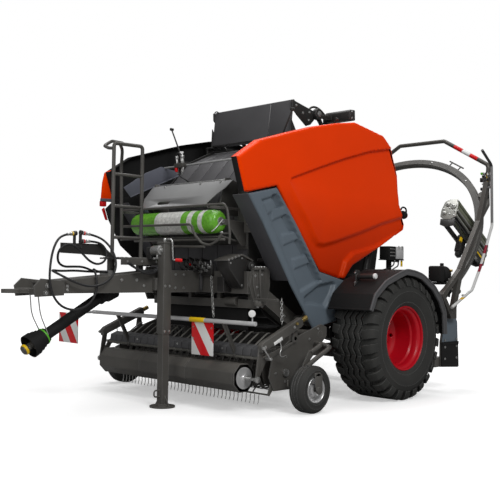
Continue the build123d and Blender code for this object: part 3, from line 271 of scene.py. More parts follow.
node_finishes = {"chassis": frame_paint, "hitch_eye": frame_paint, "jack_tube": frame_paint,
                 "jack_leg": frame_paint, "shaft_guard": guard_plastic, "drive_shaft": dark_steel,
                 "gearbox": dark_steel, "oil_unit": dark_steel, "valve_block": bare_steel,
                 "ladder": frame_paint, "chamber": black_paint, "front_belts": belt_rubber,
                 "tailgate": black_paint, "gate_arms": frame_paint, "lift_barrel": black_paint,
                 "lift_rod": bare_steel, "side_door": orange_paint, "front_guard": guard_paint,
                 "fender": black_paint, "tyre": tyre_rubber, "rim": rim_paint, "pickup_frame": frame_paint,
                 "pickup_reel": dark_steel, "gauge_tyre": tyre_rubber, "gauge_rim": silver_paint,
                 "wind_guard": dark_steel, "roller_arms": frame_paint, "marker_bar": silver_paint,
                 "press_roller": dark_steel, "binding_roll": roll_wrap, "roll_holder": frame_paint,
                 "roll_lid": lid_paint, "top_plate": hood_plastic, "wrap_ring": dark_steel,
                 "dispenser": film_metal, "wrapper_frame": dark_steel, "side_pole": pole_bands,
                 "wrapping_table": frame_paint, "control_box": box_plastic, "hose_holder": black_paint,
                 "hose_glands": bare_steel, "couplers": bare_steel, "chain_drives": dark_steel,
                 "door_brackets": frame_paint, "film_cutters": dark_steel, "rear_lockers": guard_plastic,
                 "hose_1": hose_rubber, "hose_2": hose_rubber, "hose_3": hose_rubber,}


def finish_of(name):
    for key in sorted(node_finishes, key=len, reverse=True):
        if name == key or name.startswith(key + "_"):
            return node_finishes[key]


for name, node in nodes.items():
    node.data.materials.clear()
    node.data.materials.append(finish_of(name).material)


# Modelling
def clear():
    bpy.ops.object.select_all(action="DESELECT")


def settle():
    bpy.ops.object.transform_apply(location=True, rotation=True, scale=True)
    return bpy.context.object


def pick(piece):
    clear()
    piece.select_set(True)
    bpy.context.view_layer.objects.active = piece


def apply(piece, kind, **settings):
    """Adds a modifier and applies it."""
    pick(piece)
    added = piece.modifiers.new(kind.lower(), kind)
    for name, value in settings.items():
        setattr(added, name, value)
    bpy.ops.object.modifier_apply(modifier=added.name)
    return piece


def soften(piece, width, segments=2, angle=35.0):
    if width > 0:
        apply(piece, "BEVEL", width=width, segments=segments, limit_method="ANGLE",
              angle_limit=math.radians(angle))
    pick(piece)
    bpy.ops.object.shade_smooth_by_angle(angle=math.radians(angle))
    return piece


def outward(piece):
    pick(piece)
    bpy.ops.object.mode_set(mode="EDIT")
    bpy.ops.mesh.select_all(action="SELECT")
    bpy.ops.mesh.remove_doubles(threshold=0.00002)
    bpy.ops.mesh.normals_make_consistent(inside=False)
    bpy.ops.object.mode_set(mode="OBJECT")
    return piece


def rod(start, end, radius, sides=16, chamfer=0.002, tip=None):
    """Round bar from start to end; tip is its radius at the end."""
    run = end - start
    clear()
    bpy.ops.mesh.primitive_cone_add(vertices=sides, radius1=radius, radius2=radius if tip is None else tip,
                                    depth=run.length, location=(start + end) / 2,
                                    rotation=run.to_track_quat("Z", "Y").to_euler())
    return soften(settle(), chamfer)


def block(low, high, chamfer=0.003):
    clear()
    bpy.ops.mesh.primitive_cube_add(size=1, location=(low + high) / 2)
    bpy.context.object.scale = [abs(part) for part in high - low]
    return soften(settle(), chamfer)


def slab(corners, push, chamfer, angle=35.0):
    """Flat face through the corners, pushed out to a plate."""
    clear()
    bpy.ops.mesh.primitive_circle_add(vertices=len(corners), fill_type="NGON")
    made = bpy.context.object
    for vertex, corner in zip(made.data.vertices, corners):
        vertex.co = corner
    bpy.ops.object.mode_set(mode="EDIT")
    bpy.ops.mesh.select_all(action="SELECT")
    bpy.ops.mesh.extrude_region_move(TRANSFORM_OT_translate={"value": push})
    bpy.ops.object.mode_set(mode="OBJECT")
    return soften(outward(made), chamfer, angle=angle)


def plate(outline, low, high, chamfer=0.002, across="Y", angle=35.0):
    """Plate from low to high along one axis, with its outline in the other two."""
    corners = [{"X": at(low, first, second), "Y": at(first, low, second), "Z": at(first, second, low)}[across]
               for first, second in outline]
    return slab(corners, [high - low if name == across else 0 for name in "XYZ"], chamfer, angle)


def turned(outline, centre, axis, steps=64, angle=35.0):
    """Closed outline of (radius, distance along the axis) points, spun about the axis."""
    side = axis.orthogonal().normalized()
    clear()
    bpy.ops.mesh.primitive_circle_add(vertices=len(outline), fill_type="NOTHING")
    made = bpy.context.object
    for vertex, (radius, along) in zip(made.data.vertices, outline):
        vertex.co = side * radius + axis * along
    bpy.ops.object.mode_set(mode="EDIT")
    bpy.ops.mesh.select_all(action="SELECT")
    bpy.ops.mesh.spin(steps=steps, angle=2 * math.pi, center=(0, 0, 0), axis=axis)
    bpy.ops.object.mode_set(mode="OBJECT")
    outward(made)
    made.location = centre
    settle()
    return soften(made, 0, angle=angle)


def pipe(points, radius, bend=0.05, steps=6):
    """Bent tube: a chain of points whose corners are rounded, given its thickness as a curve."""
    mesh = bpy.data.meshes.new("pipe")
    mesh.from_pydata([tuple(point) for point in points], [(n, n + 1) for n in range(len(points) - 1)], [])
    made = bpy.data.objects.new("pipe", mesh)
    bpy.context.scene.collection.objects.link(made)
    pick(made)
    if bend > 0 and len(points) > 2:
        bpy.ops.object.mode_set(mode="EDIT")
        bpy.ops.mesh.select_all(action="SELECT")
        bpy.ops.mesh.bevel(offset=bend, segments=steps, affect="VERTICES")
        bpy.ops.object.mode_set(mode="OBJECT")
    bpy.ops.object.convert(target="CURVE")
    made = bpy.context.object
    made.data.bevel_depth = radius
    made.data.bevel_resolution = 3
    made.data.use_fill_caps = True
    bpy.ops.object.convert(target="MESH")
    return soften(bpy.context.object, 0, angle=50.0)


def moved_copy(piece, matrix):
    made = piece.copy()
    made.data = piece.data.copy()
    bpy.context.scene.collection.objects.link(made)
    made.data.transform(matrix)
    if matrix.determinant() < 0:
        made.data.flip_normals()
    return made


def turn_about(centre, axis, angle):
    return Matrix.Translation(centre) @ Matrix.Rotation(angle, 4, axis) @ Matrix.Translation(-centre)


def mirrored(piece):
    return moved_copy(piece, mirror)


def paint(pieces, finish):
    for piece in pieces if isinstance(pieces, list) else [pieces]:
        piece.data.materials.clear()
        piece.data.materials.append(finish.material)
    return pieces


def joined(pieces):
    clear()
    for piece in pieces:
        piece.select_set(True)
    bpy.context.view_layer.objects.active = pieces[0]
    if len(pieces) > 1:
        bpy.ops.object.join()
    return bpy.context.object


def assemble(name, pieces, body, stands_for=()):
    """Joins painted pieces into one that rides on a body."""
    made = joined(pieces)
    made.name = name
    made.data.name = name
    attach(made, body)
    if stands_for:
        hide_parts(*stands_for)
    return made


def scrap(pieces):
    for piece in pieces:
        bpy.data.objects.remove(piece)


def assemble_pair(name, groups, body, stands_for="", flip=mirror):
    """A piece on the left and its copy on the right. A node that spans both is replaced by the left one."""
    for side, way in (("left", Matrix()), ("right", flip)):
        copies = []
        for pieces, finish in groups:
            copies += paint([moved_copy(piece, way) for piece in pieces], finish)
        covers = stands_for and (side == "left" or "{}" in stands_for)
        assemble(name.format(side), copies, body.format(side),
                 (stands_for.format(side),) if covers else ())
    scrap([piece for pieces, finish in groups for piece in pieces])


bolt_head = joined([rod(Vector((0, 0, 0.2)), Vector((0, 0, 0.95)), 1.0, 6, 0.12),
                    rod(Vector((0, 0, 0)), Vector((0, 0, 0.22)), 1.35, 20, 0.05)])
bolt_head.name = "bolt_head"


def bolt(place, way, size):
    """Hexagon head on its washer, that stands on place."""
    turn = way.to_track_quat("Z", "Y").to_matrix().to_4x4()
    return moved_copy(bolt_head, Matrix.Translation(place) @ turn @ Matrix.Scale(size, 4))


def carve(piece, tool):
    apply(piece, "BOOLEAN", object=tool, operation="DIFFERENCE", solver="EXACT")
    bpy.data.objects.remove(tool)
    return piece


# Hoses at the hitch, from their glands on the drawbar to the couplers in the holder
hose_size = 0.019
hose_routes = {
    "hose_1": (1.786, (
        (-2.420, 0.080, 1.176), (-2.530, 0.080, 1.176), (-2.690, 0.072, 1.186), (-2.840, 0.055, 1.180),
        (-2.950, 0.010, 1.186), (-3.010, -0.090, 1.180), (-2.965, -0.185, 1.135), (-2.850, -0.212, 1.080),
        (-2.715, -0.215, 1.052), (-2.580, -0.210, 1.082), (-2.480, -0.195, 1.160), (-2.432, -0.160, 1.262),
        (-2.440, -0.105, 1.370), (-2.490, -0.050, 1.450), (-2.570, -0.018, 1.486), (-2.640, -0.012, 1.496))),
    "hose_2": (1.653, (
        (-2.420, -0.005, 1.176), (-2.520, -0.005, 1.176), (-2.605, -0.062, 1.205), (-2.642, -0.155, 1.172),
        (-2.636, -0.178, 1.068), (-2.662, -0.180, 0.968), (-2.742, -0.180, 0.890), (-2.860, -0.175, 0.862),
        (-2.975, -0.168, 0.895), (-3.060, -0.175, 0.985), (-3.095, -0.180, 1.105), (-3.080, -0.165, 1.235),
        (-3.030, -0.120, 1.350), (-2.950, -0.060, 1.438), (-2.865, -0.020, 1.478), (-2.800, -0.012, 1.488))),
    "hose_3": (1.532, (
        (-2.420, 0.038, 1.176), (-2.520, 0.038, 1.176), (-2.640, 0.022, 1.218), (-2.770, -0.012, 1.218),
        (-2.885, -0.050, 1.215), (-2.965, -0.085, 1.255), (-2.975, -0.110, 1.345), (-2.905, -0.120, 1.405),
        (-2.815, -0.115, 1.385), (-2.735, -0.100, 1.325), (-2.655, -0.088, 1.262), (-2.562, -0.074, 1.236),
        (-2.478, -0.060, 1.268), (-2.446, -0.044, 1.345), (-2.490, -0.026, 1.415), (-2.570, -0.014, 1.434),
        (-2.640, -0.012, 1.432))),
}
coupler_r = 0.014
for name, cap_finish in (("hose_1", red_plastic), ("hose_2", yellow_plastic), ("hose_3", red_plastic)):
    length, route = hose_routes[name]
    line = bpy.data.curves.new(f"{name}_line", "CURVE")
    line.dimensions = "3D"
    spline = line.splines.new("NURBS")
    spline.points.add(len(route) - 1)
    for point, place in zip(spline.points, route):
        point.co = tuple(at(*place)) + (1.0,)
    spline.order_u = 3
    spline.use_endpoint_u = True
    spline.resolution_u = 10
    line.bevel_depth = hose_size / 2
    line.bevel_resolution = 4
    line.use_fill_caps = True
    line.materials.append(hose_rubber.material)
    hose = bpy.data.objects.new(f"{name}_run", line)
    bpy.context.scene.collection.objects.link(hose)
    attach(hose, "frame")
    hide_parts(name)
    end = at(*route[-1])
    way = (end - at(*route[-2])).normalized()
    ferrule = rod(end - way * 0.035, end + way * 0.002, 0.0125, 16)
    nut = rod(end, end + way * 0.016, coupler_r + 0.002, 6, 0.001)
    sleeve = rod(end + way * 0.016, end + way * 0.046, coupler_r, 20, 0.002)
    cap = rod(end + way * 0.046, end + way * 0.060, coupler_r - 0.001, 20, 0.003)
    band = rod(end + way * 0.018, end + way * 0.028, coupler_r + 0.004, 20, 0.002)
    paint([ferrule, nut, sleeve], bare_steel)
    paint([cap, band], cap_finish)
    coupler = assemble(f"coupler_{name[-1]}", [ferrule, nut, sleeve, cap, band], "frame",
                       ("couplers",))


# Moulded panels: an outline cut into small squares whose depth follows the panel's creases
def line_distance(points, line):
    """Distance of each point from a polyline, and on which side of it the point lies."""
    best = np.full(len(points), 1e9)
    hand = np.zeros(len(points))
    for start, end in zip(line, line[1:]):
        start, end = np.array(start), np.array(end)
        run = end - start
        share = np.clip(((points - start) @ run) / (run @ run), 0, 1)
        away = points - start - share[:, None] * run
        distance = np.hypot(away[:, 0], away[:, 1])
        nearer = distance < best - 1e-9
        best = np.where(nearer, distance, best)
        cross = run[0] * (points[:, 1] - start[1]) - run[1] * (points[:, 0] - start[0])
        hand = np.where(nearer, np.sign(cross), hand)
    return best, hand


def ease(value, low, high):
    share = np.clip((value - low) / (high - low), 0, 1)
    return share * share * (3 - 2 * share)


def inside(points, outline):
    """Whether each point lies in the outline."""
    found = np.zeros(len(points), bool)
    for (x0, z0), (x1, z1) in zip(outline, outline[1:] + outline[:1]):
        spans = (z0 > points[:, 1]) != (z1 > points[:, 1])
        with np.errstate(divide="ignore", invalid="ignore"):
            reach = (x1 - x0) * (points[:, 1] - z0) / (z1 - z0) + x0
        found ^= spans & (points[:, 0] < reach)
    return found


def in_depth(points, outline, slope, deep):
    """A sunk patch with sloping sides."""
    distance = line_distance(points, outline + outline[:1])[0]
    return np.where(inside(points, outline), deep * ease(distance, 0, slope), 0.0)


def moulded(outline, face_y, spacing, depth_of, deep_edges, edge_deep, other_deep, wall=0.006, round_r=0.018):
    """Panel on the machine's left side. deep_edges are the outline's corners whose flange is edge_deep."""
    clear()
    bpy.ops.mesh.primitive_circle_add(vertices=len(outline), fill_type="NGON")
    made = bpy.context.object
    for vertex, (x, z) in zip(made.data.vertices, outline):
        vertex.co = at(x, -face_y, z)
    bpy.ops.object.mode_set(mode="EDIT")
    low_x, high_x = min(x for x, z in outline), max(x for x, z in outline)
    low_z, high_z = min(z for x, z in outline), max(z for x, z in outline)
    for count, start, normal in ((int((high_x - low_x) / spacing), low_x, (1, 0, 0)),
                                 (int((high_z - low_z) / spacing), low_z, (0, 0, 1))):
        for number in range(1, count + 1):
            step = start + number * spacing
            spot = at(step, 0, 0) if normal[0] else at(0, 0, step)
            bpy.ops.mesh.select_all(action="SELECT")
            bpy.ops.mesh.bisect(plane_co=spot, plane_no=normal)
    bpy.ops.mesh.select_all(action="SELECT")
    bpy.ops.mesh.remove_doubles(threshold=0.0005)
    bpy.ops.mesh.select_all(action="DESELECT")
    bpy.ops.mesh.select_mode(type="EDGE")
    bpy.ops.mesh.select_non_manifold()
    bpy.ops.mesh.extrude_edges_move(TRANSFORM_OT_translate={"value": (0, 0, 0)})
    bpy.ops.object.mode_set(mode="OBJECT")
    rim = {vertex.index for vertex in made.data.vertices if vertex.select}
    places = np.array([(vertex.co.x - axle_x, vertex.co.z) for vertex in made.data.vertices])
    distance = line_distance(places, outline + outline[:1])[0]
    bite = np.clip(round_r - distance, 0, round_r)
    depth = depth_of(places) + round_r - np.sqrt(round_r ** 2 - bite ** 2)
    for vertex, deep, (x, z) in zip(made.data.vertices, depth, places):
        if vertex.index in rim:
            near = min(math.dist((x, z), corner) for corner in deep_edges) if deep_edges else 9
            on_deep = min(float(line_distance(np.array([(x, z)]), [a, b])[0][0])
                          for a, b in zip(deep_edges, deep_edges[1:])) < 0.002 if deep_edges else False
            vertex.co.y = -face_y + (edge_deep if on_deep or near < 0.002 else other_deep)
        else:
            vertex.co.y = -face_y + deep
    outward(made)
    apply(made, "SOLIDIFY", thickness=wall, offset=-1.0)
    return soften(made, 0, angle=40.0)


door_edge = [(-1.786, 2.166), (-1.511, 2.341), (-1.115, 2.459), (-0.796, 2.551), (-0.457, 2.626),
             (-0.170, 2.673), (0.300, 2.600), (0.459, 2.483), (0.574, 2.216), (0.606, 1.914), (0.709, 1.712),
             (0.695, 1.662), (0.234, 1.449), (-0.193, 1.265), (-0.312, 1.138), (-0.659, 1.215),
             (-1.015, 1.639), (-1.288, 1.956), (-1.651, 1.874), (-1.688, 1.878)]
door_crease = [(-1.105, 2.045), (-0.739, 2.171), (-0.319, 2.308), (0.089, 2.422), (0.500, 2.498)]
door_ridge = [(-1.119, 1.994), (-1.011, 1.851), (-0.850, 1.669), (-0.755, 1.532), (-0.705, 1.487),
              (-0.644, 1.477), (-0.477, 1.509), (-0.082, 1.613), (0.318, 1.731), (0.720, 1.823)]
door_foot = [(-0.400, 1.100), (-0.360, 1.197), (-0.308, 1.319), (-0.188, 1.404), (0.205, 1.485),
             (0.740, 1.690)]


def door_depth(points):
    crease = line_distance(points, door_crease)[0]
    ridge, beyond = line_distance(points, door_ridge)
    foot, under = line_distance(points, door_foot)
    panel = inside(points, door_crease + door_ridge[::-1])
    share = crease / np.maximum(crease + ridge, 1e-6)
    sunk = 0.040 * (1 - share) * ease(crease, 0.0, 0.014)
    below = (beyond < 0) & ~panel
    drop = 2.045 - points[:, 1] - 0.30 * (-1.105 - points[:, 0])
    valley = 0.036 * ease(ridge, 0.0, 0.055) * ease(drop, 0.05, 0.45)
    lower = np.where(under < 0, 1 - ease(foot, 0.0, 0.030), 1.0)
    return np.where(panel, sunk, np.where(below & (drop > 0), valley * lower, 0.0))


door_skin = moulded(door_edge, 0.950, 0.0125, door_depth, [(-1.688, 1.878)] + door_edge[:7], 0.088, 0.030,
                    round_r=0.022)
door_right = mirrored(door_skin)
for name, side, skin in (("left", -1, door_skin), ("right", 1, door_right)):
    paint(skin, orange_paint)
    skin.data.materials.append(guard_plastic.material)
    for face in skin.data.polygons:
        away = face.normal.y * side
        lip = away < 0.2 and (face.normal.z < -0.3 or face.normal.x > 0.3)
        if away < -0.25 or lip or (side > 0 and away < 0.5 and face.center.x > axle_x - 1.76):
            face.material_index = 1
    assemble(f"door_skin_{name}", [skin], f"door_{name}", (f"side_door_{name}",))

# Front guards
guard_edge = [(-1.649, 1.862), (-1.296, 1.940), (-1.020, 1.622), (-0.700, 1.206), (-0.324, 1.122),
              (-0.422, 0.744), (-0.775, 0.676), (-1.088, 1.073), (-1.460, 1.620)]
guard_dip = [(-1.507, 1.822), (-1.302, 1.880), (-0.679, 1.123), (-0.975, 1.008)]
guard_slot = [(-1.372, 1.868), (-1.292, 1.888), (-0.668, 1.120), (-0.722, 1.098)]
guard_tabs = ([(-1.480, 1.795), (-1.345, 1.840), (-1.290, 1.770), (-1.400, 1.690)],
              [(-1.361, 1.753), (-1.197, 1.776), (-1.149, 1.716), (-1.345, 1.640)],
              [(-1.220, 1.530), (-1.051, 1.568), (-0.983, 1.497), (-1.195, 1.430)],
              [(-1.075, 1.315), (-0.892, 1.359), (-0.821, 1.283), (-1.045, 1.220)])
guard_cup = [(-0.924, 0.975), (-0.707, 1.090), (-0.500, 1.123), (-0.446, 1.096), (-0.497, 0.983),
             (-0.600, 0.860), (-0.723, 0.888), (-0.903, 0.898)]


def guard_depth(points):
    deep = in_depth(points, guard_dip, 0.022, 0.022) + in_depth(points, guard_slot, 0.008, 0.030)
    for tab in guard_tabs:
        deep = np.where(inside(points, tab), np.minimum(deep, 0.016 - in_depth(points, tab, 0.012, 0.009)),
                        deep)
    return deep + in_depth(points, guard_cup, 0.035, 0.040)


guard_skin = moulded(guard_edge, 0.950, 0.0105, guard_depth, [], 0.0, 0.020, round_r=0.012)
guard_flange = plate([(-1.647, 1.860), (-1.458, 1.618), (-1.120, 1.118), (-1.106, 1.124), (-1.446, 1.626),
                      (-1.632, 1.864)], -0.934, -0.740, 0.003)
assemble_pair("guard_skin_{}", (([guard_skin], guard_paint), ([guard_flange], inner_plastic)), "frame",
              "front_guard_{}")

# Main wheels: carcass, zigzag ribs between staggered shoulder lugs, and a deep dished rim with its bolts
wheel_z = 0.585
wheel_y = -1.220
tread_count = 26
pitch = 2 * math.pi * wheel_z / tread_count
wheel_hub = at(0, wheel_y, wheel_z)
lug_line = [(0.128, 0.545), (0.128, 0.583), (0.190, 0.584), (0.224, 0.570), (0.244, 0.538), (0.2515, 0.495),
            (0.245, 0.492), (0.222, 0.525), (0.190, 0.548)]


def wrapped(piece, count):
    """Cuts a block of tread crosswise and lays it round the wheel."""
    pick(piece)
    bpy.ops.object.mode_set(mode="EDIT")
    for number in range(1, count):
        bpy.ops.mesh.select_all(action="SELECT")
        bpy.ops.mesh.bisect(plane_co=at(pitch * (number / count - 0.5), 0, 0), plane_no=(1, 0, 0))
    bpy.ops.object.mode_set(mode="OBJECT")
    for vertex in piece.data.vertices:
        turn = (vertex.co.x - axle_x) / wheel_z
        radius = vertex.co.z - wheel_z
        vertex.co.x = axle_x + radius * math.sin(turn)
        vertex.co.z = wheel_z + radius * math.cos(turn)
    return piece


tread = []
half = pitch / 2
rib = 0.0215
for place in (-0.0960, -0.0330, 0.0330, 0.0960):
    y = wheel_y + place
    tread.append(wrapped(plate([(0.002 - half, y - rib), (-half / 2, y - rib + 0.012), (0, y - rib + 0.030),
                                (half - 0.002, y - rib), (half - 0.002, y + rib), (0, y + rib + 0.030),
                                (-half / 2, y + rib + 0.012), (0.002 - half, y + rib)],
                               wheel_z + 0.545, wheel_z + 0.584, 0.003, "Z"), 6))
for hand in (-1, 1):
    lug = plate([(wheel_y + hand * y, wheel_z + radius) for y, radius in lug_line], -0.60 * half, 0.60 * half,
                0.005, "X")
    for vertex in lug.data.vertices:
        vertex.co.x += 0.20 * (abs(vertex.co.y - wheel_y) - 0.13) + 0.25 * hand * half
    tread.append(wrapped(lug, 6))
ring = [moved_copy(block_piece, turn_about(wheel_hub, along_y, 2 * math.pi * number / tread_count))
        for block_piece in tread for number in range(1, tread_count)]
half_side = [(0.291, 0.188), (0.307, 0.190), (0.308, 0.212), (0.326, 0.226), (0.336, 0.2315), (0.341, 0.2345),
             (0.346, 0.2320), (0.400, 0.2480), (0.420, 0.2500), (0.440, 0.2500), (0.445, 0.2525),
             (0.450, 0.2490), (0.480, 0.2445), (0.505, 0.2330), (0.530, 0.2100), (0.548, 0.1700),
             (0.554, 0.1300)]
carcass = turned(half_side + [(radius, -along) for radius, along in reversed(half_side)], wheel_hub, along_y,
                 96)
tyre = assemble("tyre_tread_left", paint([carcass] + tread + ring, tyre_rubber), "wheel_left",
                ("tyre_left",))
assemble("tyre_tread_right", [mirrored(tyre)], "wheel_right", ("tyre_right",))
rim_side = [(0.306, 0.207), (0.299, 0.213), (0.291, 0.206), (0.287, 0.186), (0.271, 0.176), (0.262, 0.162),
            (0.262, 0.112), (0.250, 0.096), (0.250, -0.052), (0.243, -0.070), (0.222, -0.084),
            (0.205, -0.098), (0.150, -0.106), (0.138, -0.100), (0.095, -0.100), (0.095, -0.064),
            (0.088, -0.058), (0.060, -0.056), (0.055, -0.046), (0.0, -0.046), (0.0, -0.150), (0.092, -0.150),
            (0.092, -0.118), (0.150, -0.122), (0.200, -0.114), (0.258, -0.086), (0.281, -0.120),
            (0.281, -0.200), (0.290, -0.207), (0.306, -0.207), (0.306, -0.192), (0.289, -0.188),
            (0.289, 0.188), (0.306, 0.192)]
rim = turned(rim_side, wheel_hub, -along_y, 96)
holes = []
for number in range(6):
    turn = turn_about(wheel_hub, along_y, math.radians(60 * number + 30))
    holes.append(rod(turn @ at(0, wheel_y + 0.160, wheel_z + 0.204),
                     turn @ at(0, wheel_y + 0.040, wheel_z + 0.204), 0.018, 20, 0))
rim = carve(rim, joined(holes))
nuts = [bolt(turn_about(wheel_hub, along_y, math.radians(36 * number)) @ at(0, wheel_y + 0.103,
                                                                            wheel_z + 0.168), -along_y, 0.013)
        for number in range(10)]
nuts += [bolt(turn_about(wheel_hub, along_y, math.radians(60 * number)) @ at(0, wheel_y + 0.058,
                                                                             wheel_z + 0.074), -along_y,
              0.006) for number in range(6)]
valve = rod(at(-0.10, wheel_y - 0.050, 0.354), at(-0.085, wheel_y - 0.085, 0.382), 0.004, 10, 0.001)
wheel_rim = assemble("rim_dish_left",
                     [paint(rim, rim_paint)] + paint(nuts, rim_paint) + paint([valve], bare_steel),
                     "wheel_left", ("rim_left",))
assemble("rim_dish_right", [mirrored(wheel_rim)], "wheel_right", ("rim_right",))

# Gauge wheels
gauge_hub = at(-1.222, -1.290, 0.203)
gauge_side = [(0.103, 0.060), (0.114, 0.062), (0.114, 0.071), (0.124, 0.077), (0.128, 0.079), (0.132, 0.077),
              (0.160, 0.0800), (0.164, 0.0815), (0.168, 0.0790), (0.188, 0.070), (0.198, 0.058),
              (0.2025, 0.046), (0.203, 0.034), (0.199, 0.032), (0.199, 0.026), (0.203, 0.024), (0.203, 0.008),
              (0.199, 0.006)]
gauge_tyre = turned(gauge_side + [(radius, -along) for radius, along in reversed(gauge_side)], gauge_hub,
                    along_y, 72)
gauge_rim = turned([(0.112, 0.068), (0.108, 0.072), (0.103, 0.068), (0.097, 0.050), (0.094, 0.024),
                    (0.080, 0.014), (0.050, 0.018), (0.046, 0.050), (0.036, 0.054), (0.0, 0.054),
                    (0.0, -0.050), (0.045, -0.050), (0.045, 0.008), (0.094, 0.010), (0.096, -0.066),
                    (0.112, -0.068), (0.112, -0.061), (0.103, -0.060), (0.103, 0.060), (0.112, 0.061)],
                   gauge_hub, -along_y, 64)
gauge_nuts = [bolt(turn_about(gauge_hub, along_y, math.radians(72 * number)) @ at(-1.222, -1.306, 0.273),
                   -along_y, 0.007) for number in range(5)]
assemble_pair("gauge_tread_{}", (([gauge_tyre], tyre_rubber),), "gauge_wheel_{}",
              "gauge_tyre_{}")
assemble_pair("gauge_dish_{}", (([gauge_rim] + gauge_nuts, silver_paint),), "gauge_wheel_{}",
              "gauge_rim_{}")

# Ladder and its platform
post_y = 0.150
ladder = [pipe([at(-2.255, post_y, 1.215), at(-2.255, post_y, 2.325), at(-1.935, post_y, 2.330),
                at(-1.935, post_y, 1.215)], 0.017, 0.030),
          pipe([at(-2.250, post_y + 0.01, 2.280), at(-2.205, 0.300, 2.300), at(-2.162, 0.430, 2.338),
                at(-2.076, 0.430, 2.392), at(-2.165, post_y, 2.335)], 0.015, 0.030),
          pipe([at(-2.190, post_y, 2.325), at(-2.050, 0.300, 2.300), at(-1.963, 0.430, 2.180),
                at(-1.944, 0.430, 1.470)], 0.015, 0.060)]
ladder += [rod(at(-2.255, post_y, z), at(-1.935, post_y, z), 0.0145, 14, 0.001)
           for z in (2.050, 1.765, 1.485)]
ladder += [rod(at(-1.935, post_y, 1.485), at(-1.944, 0.430, 1.485), 0.013, 14, 0.001)]
ladder += [block(at(-2.330, -0.080, 1.290), at(-1.890, 0.230, 1.304), 0.002),
           block(at(-2.330, -0.084, 1.240), at(-1.890, -0.078, 1.304), 0.001)]
ladder += [block(at(x - 0.025, 0.140, 1.120), at(x + 0.025, 0.190, 1.300)) for x in (-2.255, -1.935)]
tread_places = [(-2.30 + 0.05 * column, -0.05 + 0.05 * row) for column in range(9) for row in range(6)]
treads = [rod(at(x, y, 1.303), at(x, y, 1.309), 0.012, 10, 0.002, 0.009) for x, y in tread_places]
step_bolts = [bolt(at(x, -0.084, 1.272), -along_y, 0.008) for x in (-2.26, -2.10, -1.94)]
assemble("ladder_rails", paint(ladder + treads, frame_paint) + paint(step_bolts, bare_steel), "frame",
         ("ladder",))

# Binding roll, the parts that hold it, and its lid
roll_body = turned([(0.031, -0.575), (0.040, -0.598), (0.062, -0.594), (0.085, -0.580), (0.099, -0.556),
                    (0.105, -0.520), (0.1065, -0.420), (0.1055, -0.330), (0.1070, -0.200), (0.1065, 0.0),
                    (0.1065, 0.300), (0.105, 0.520), (0.099, 0.556), (0.085, 0.580), (0.062, 0.594),
                    (0.040, 0.598), (0.031, 0.575)], at(-1.640, 0, 1.635), along_y, 72)
assemble("roll_wrapped", [paint(roll_body, roll_wrap)], "binding_roll", ("binding_roll",))
holder = []
spigots = []
bar_x = -1.800
for side in (-1, 1):
    holder += [plate([(-1.325, 1.430), (-1.325, 1.640), (-1.560, 1.655), (-1.672, 1.660), (-1.672, 1.610),
                      (-1.560, 1.605), (-1.400, 1.430)], side * 0.613, side * 0.603, 0.002),
               plate([(-1.325, 1.700), (-1.325, 2.000), (-1.440, 2.040), (-1.500, 2.040), (-1.500, 1.990),
                      (-1.560, 1.815), (-1.440, 1.700)], side * 0.492, side * 0.502, 0.002),
               block(at(bar_x - 0.008, side * 0.596, 1.742), at(-1.320, side * 0.606, 1.766), 0.002),
               block(at(-1.332, side * 0.492, 1.400), at(-1.320, side * 0.627, 2.000), 0.002)]
    spigots += [rod(at(-1.640, side * 0.551, 1.635), at(-1.640, side * 0.603, 1.635), 0.030, 24, 0.003),
                rod(at(-1.640, side * 0.590, 1.635), at(-1.640, side * 0.600, 1.635), 0.040, 24, 0.003),
                rod(at(-1.640, side * 0.603, 1.635), at(-1.640, side * 0.630, 1.635), 0.018, 24, 0.004)]
spigots += [rod(at(-1.650, -0.625, 1.640), at(-1.740, -0.625, 1.560), 0.006, 10, 0.001),
            rod(at(-1.740, -0.625, 1.560), at(-1.765, -0.615, 1.538), 0.006, 10, 0.001)]
holder += [plate([(-1.605, 1.500), (-1.320, 1.440), (-1.320, 1.452), (-1.600, 1.514), (-1.640, 1.505),
                  (-1.636, 1.496)], -0.584, 0.584, 0.002),
           pipe([at(bar_x, 0.600, 1.767), at(bar_x, -0.803, 1.769), at(bar_x, -0.845, 1.719),
                 at(bar_x, -0.878, 1.516), at(bar_x, -0.872, 1.430)], 0.011, 0.020),
           pipe([at(bar_x, 0.639, 1.614), at(bar_x, -0.386, 1.607), at(bar_x, -0.432, 1.517),
                 at(bar_x, -0.522, 1.440), at(bar_x, -0.632, 1.418), at(bar_x, -0.739, 1.462),
                 at(bar_x, -0.779, 1.518)], 0.0115, 0.030),
           rod(at(-1.690, 0.560, 1.478), at(-1.690, -0.700, 1.472), 0.012, 14),
           rod(at(-1.760, -0.060, 1.415), at(-1.760, -0.520, 1.408), 0.011, 14),
           block(at(bar_x - 0.008, 0.596, 1.602), at(-1.660, 0.606, 1.626), 0.002),
           plate([(-1.395, 1.545), (-1.330, 1.560), (-1.330, 1.700), (-1.395, 1.690)], -0.760, -0.640, 0.004),
           rod(at(bar_x, -0.776, 1.516), at(bar_x, -0.878, 1.516), 0.008, 10)]
knobs = [bolt(at(bar_x, -0.779, 1.520), Vector((0, 0, 1)), 0.014),
         bolt(at(-1.398, -0.700, 1.625), forward, 0.014),
         bolt(at(-1.360, -0.762, 1.640), -along_y, 0.012)]
wing = plate([(-1.841, 1.986), (-1.759, 1.900), (-1.157, 2.159), (-1.200, 2.205), (-1.384, 2.230),
              (-1.577, 2.149)], 0.545, 0.555, 0.003)
wing_lip = rod(at(-1.759, 0.545, 1.900), at(-1.157, 0.545, 2.159), 0.006, 8, 0.001)
assemble("roll_holder_dress", paint(holder, frame_paint) + paint(spigots + knobs, bare_steel) +
         paint([wing, wing_lip], wing_paint), "frame", ("roll_holder",))
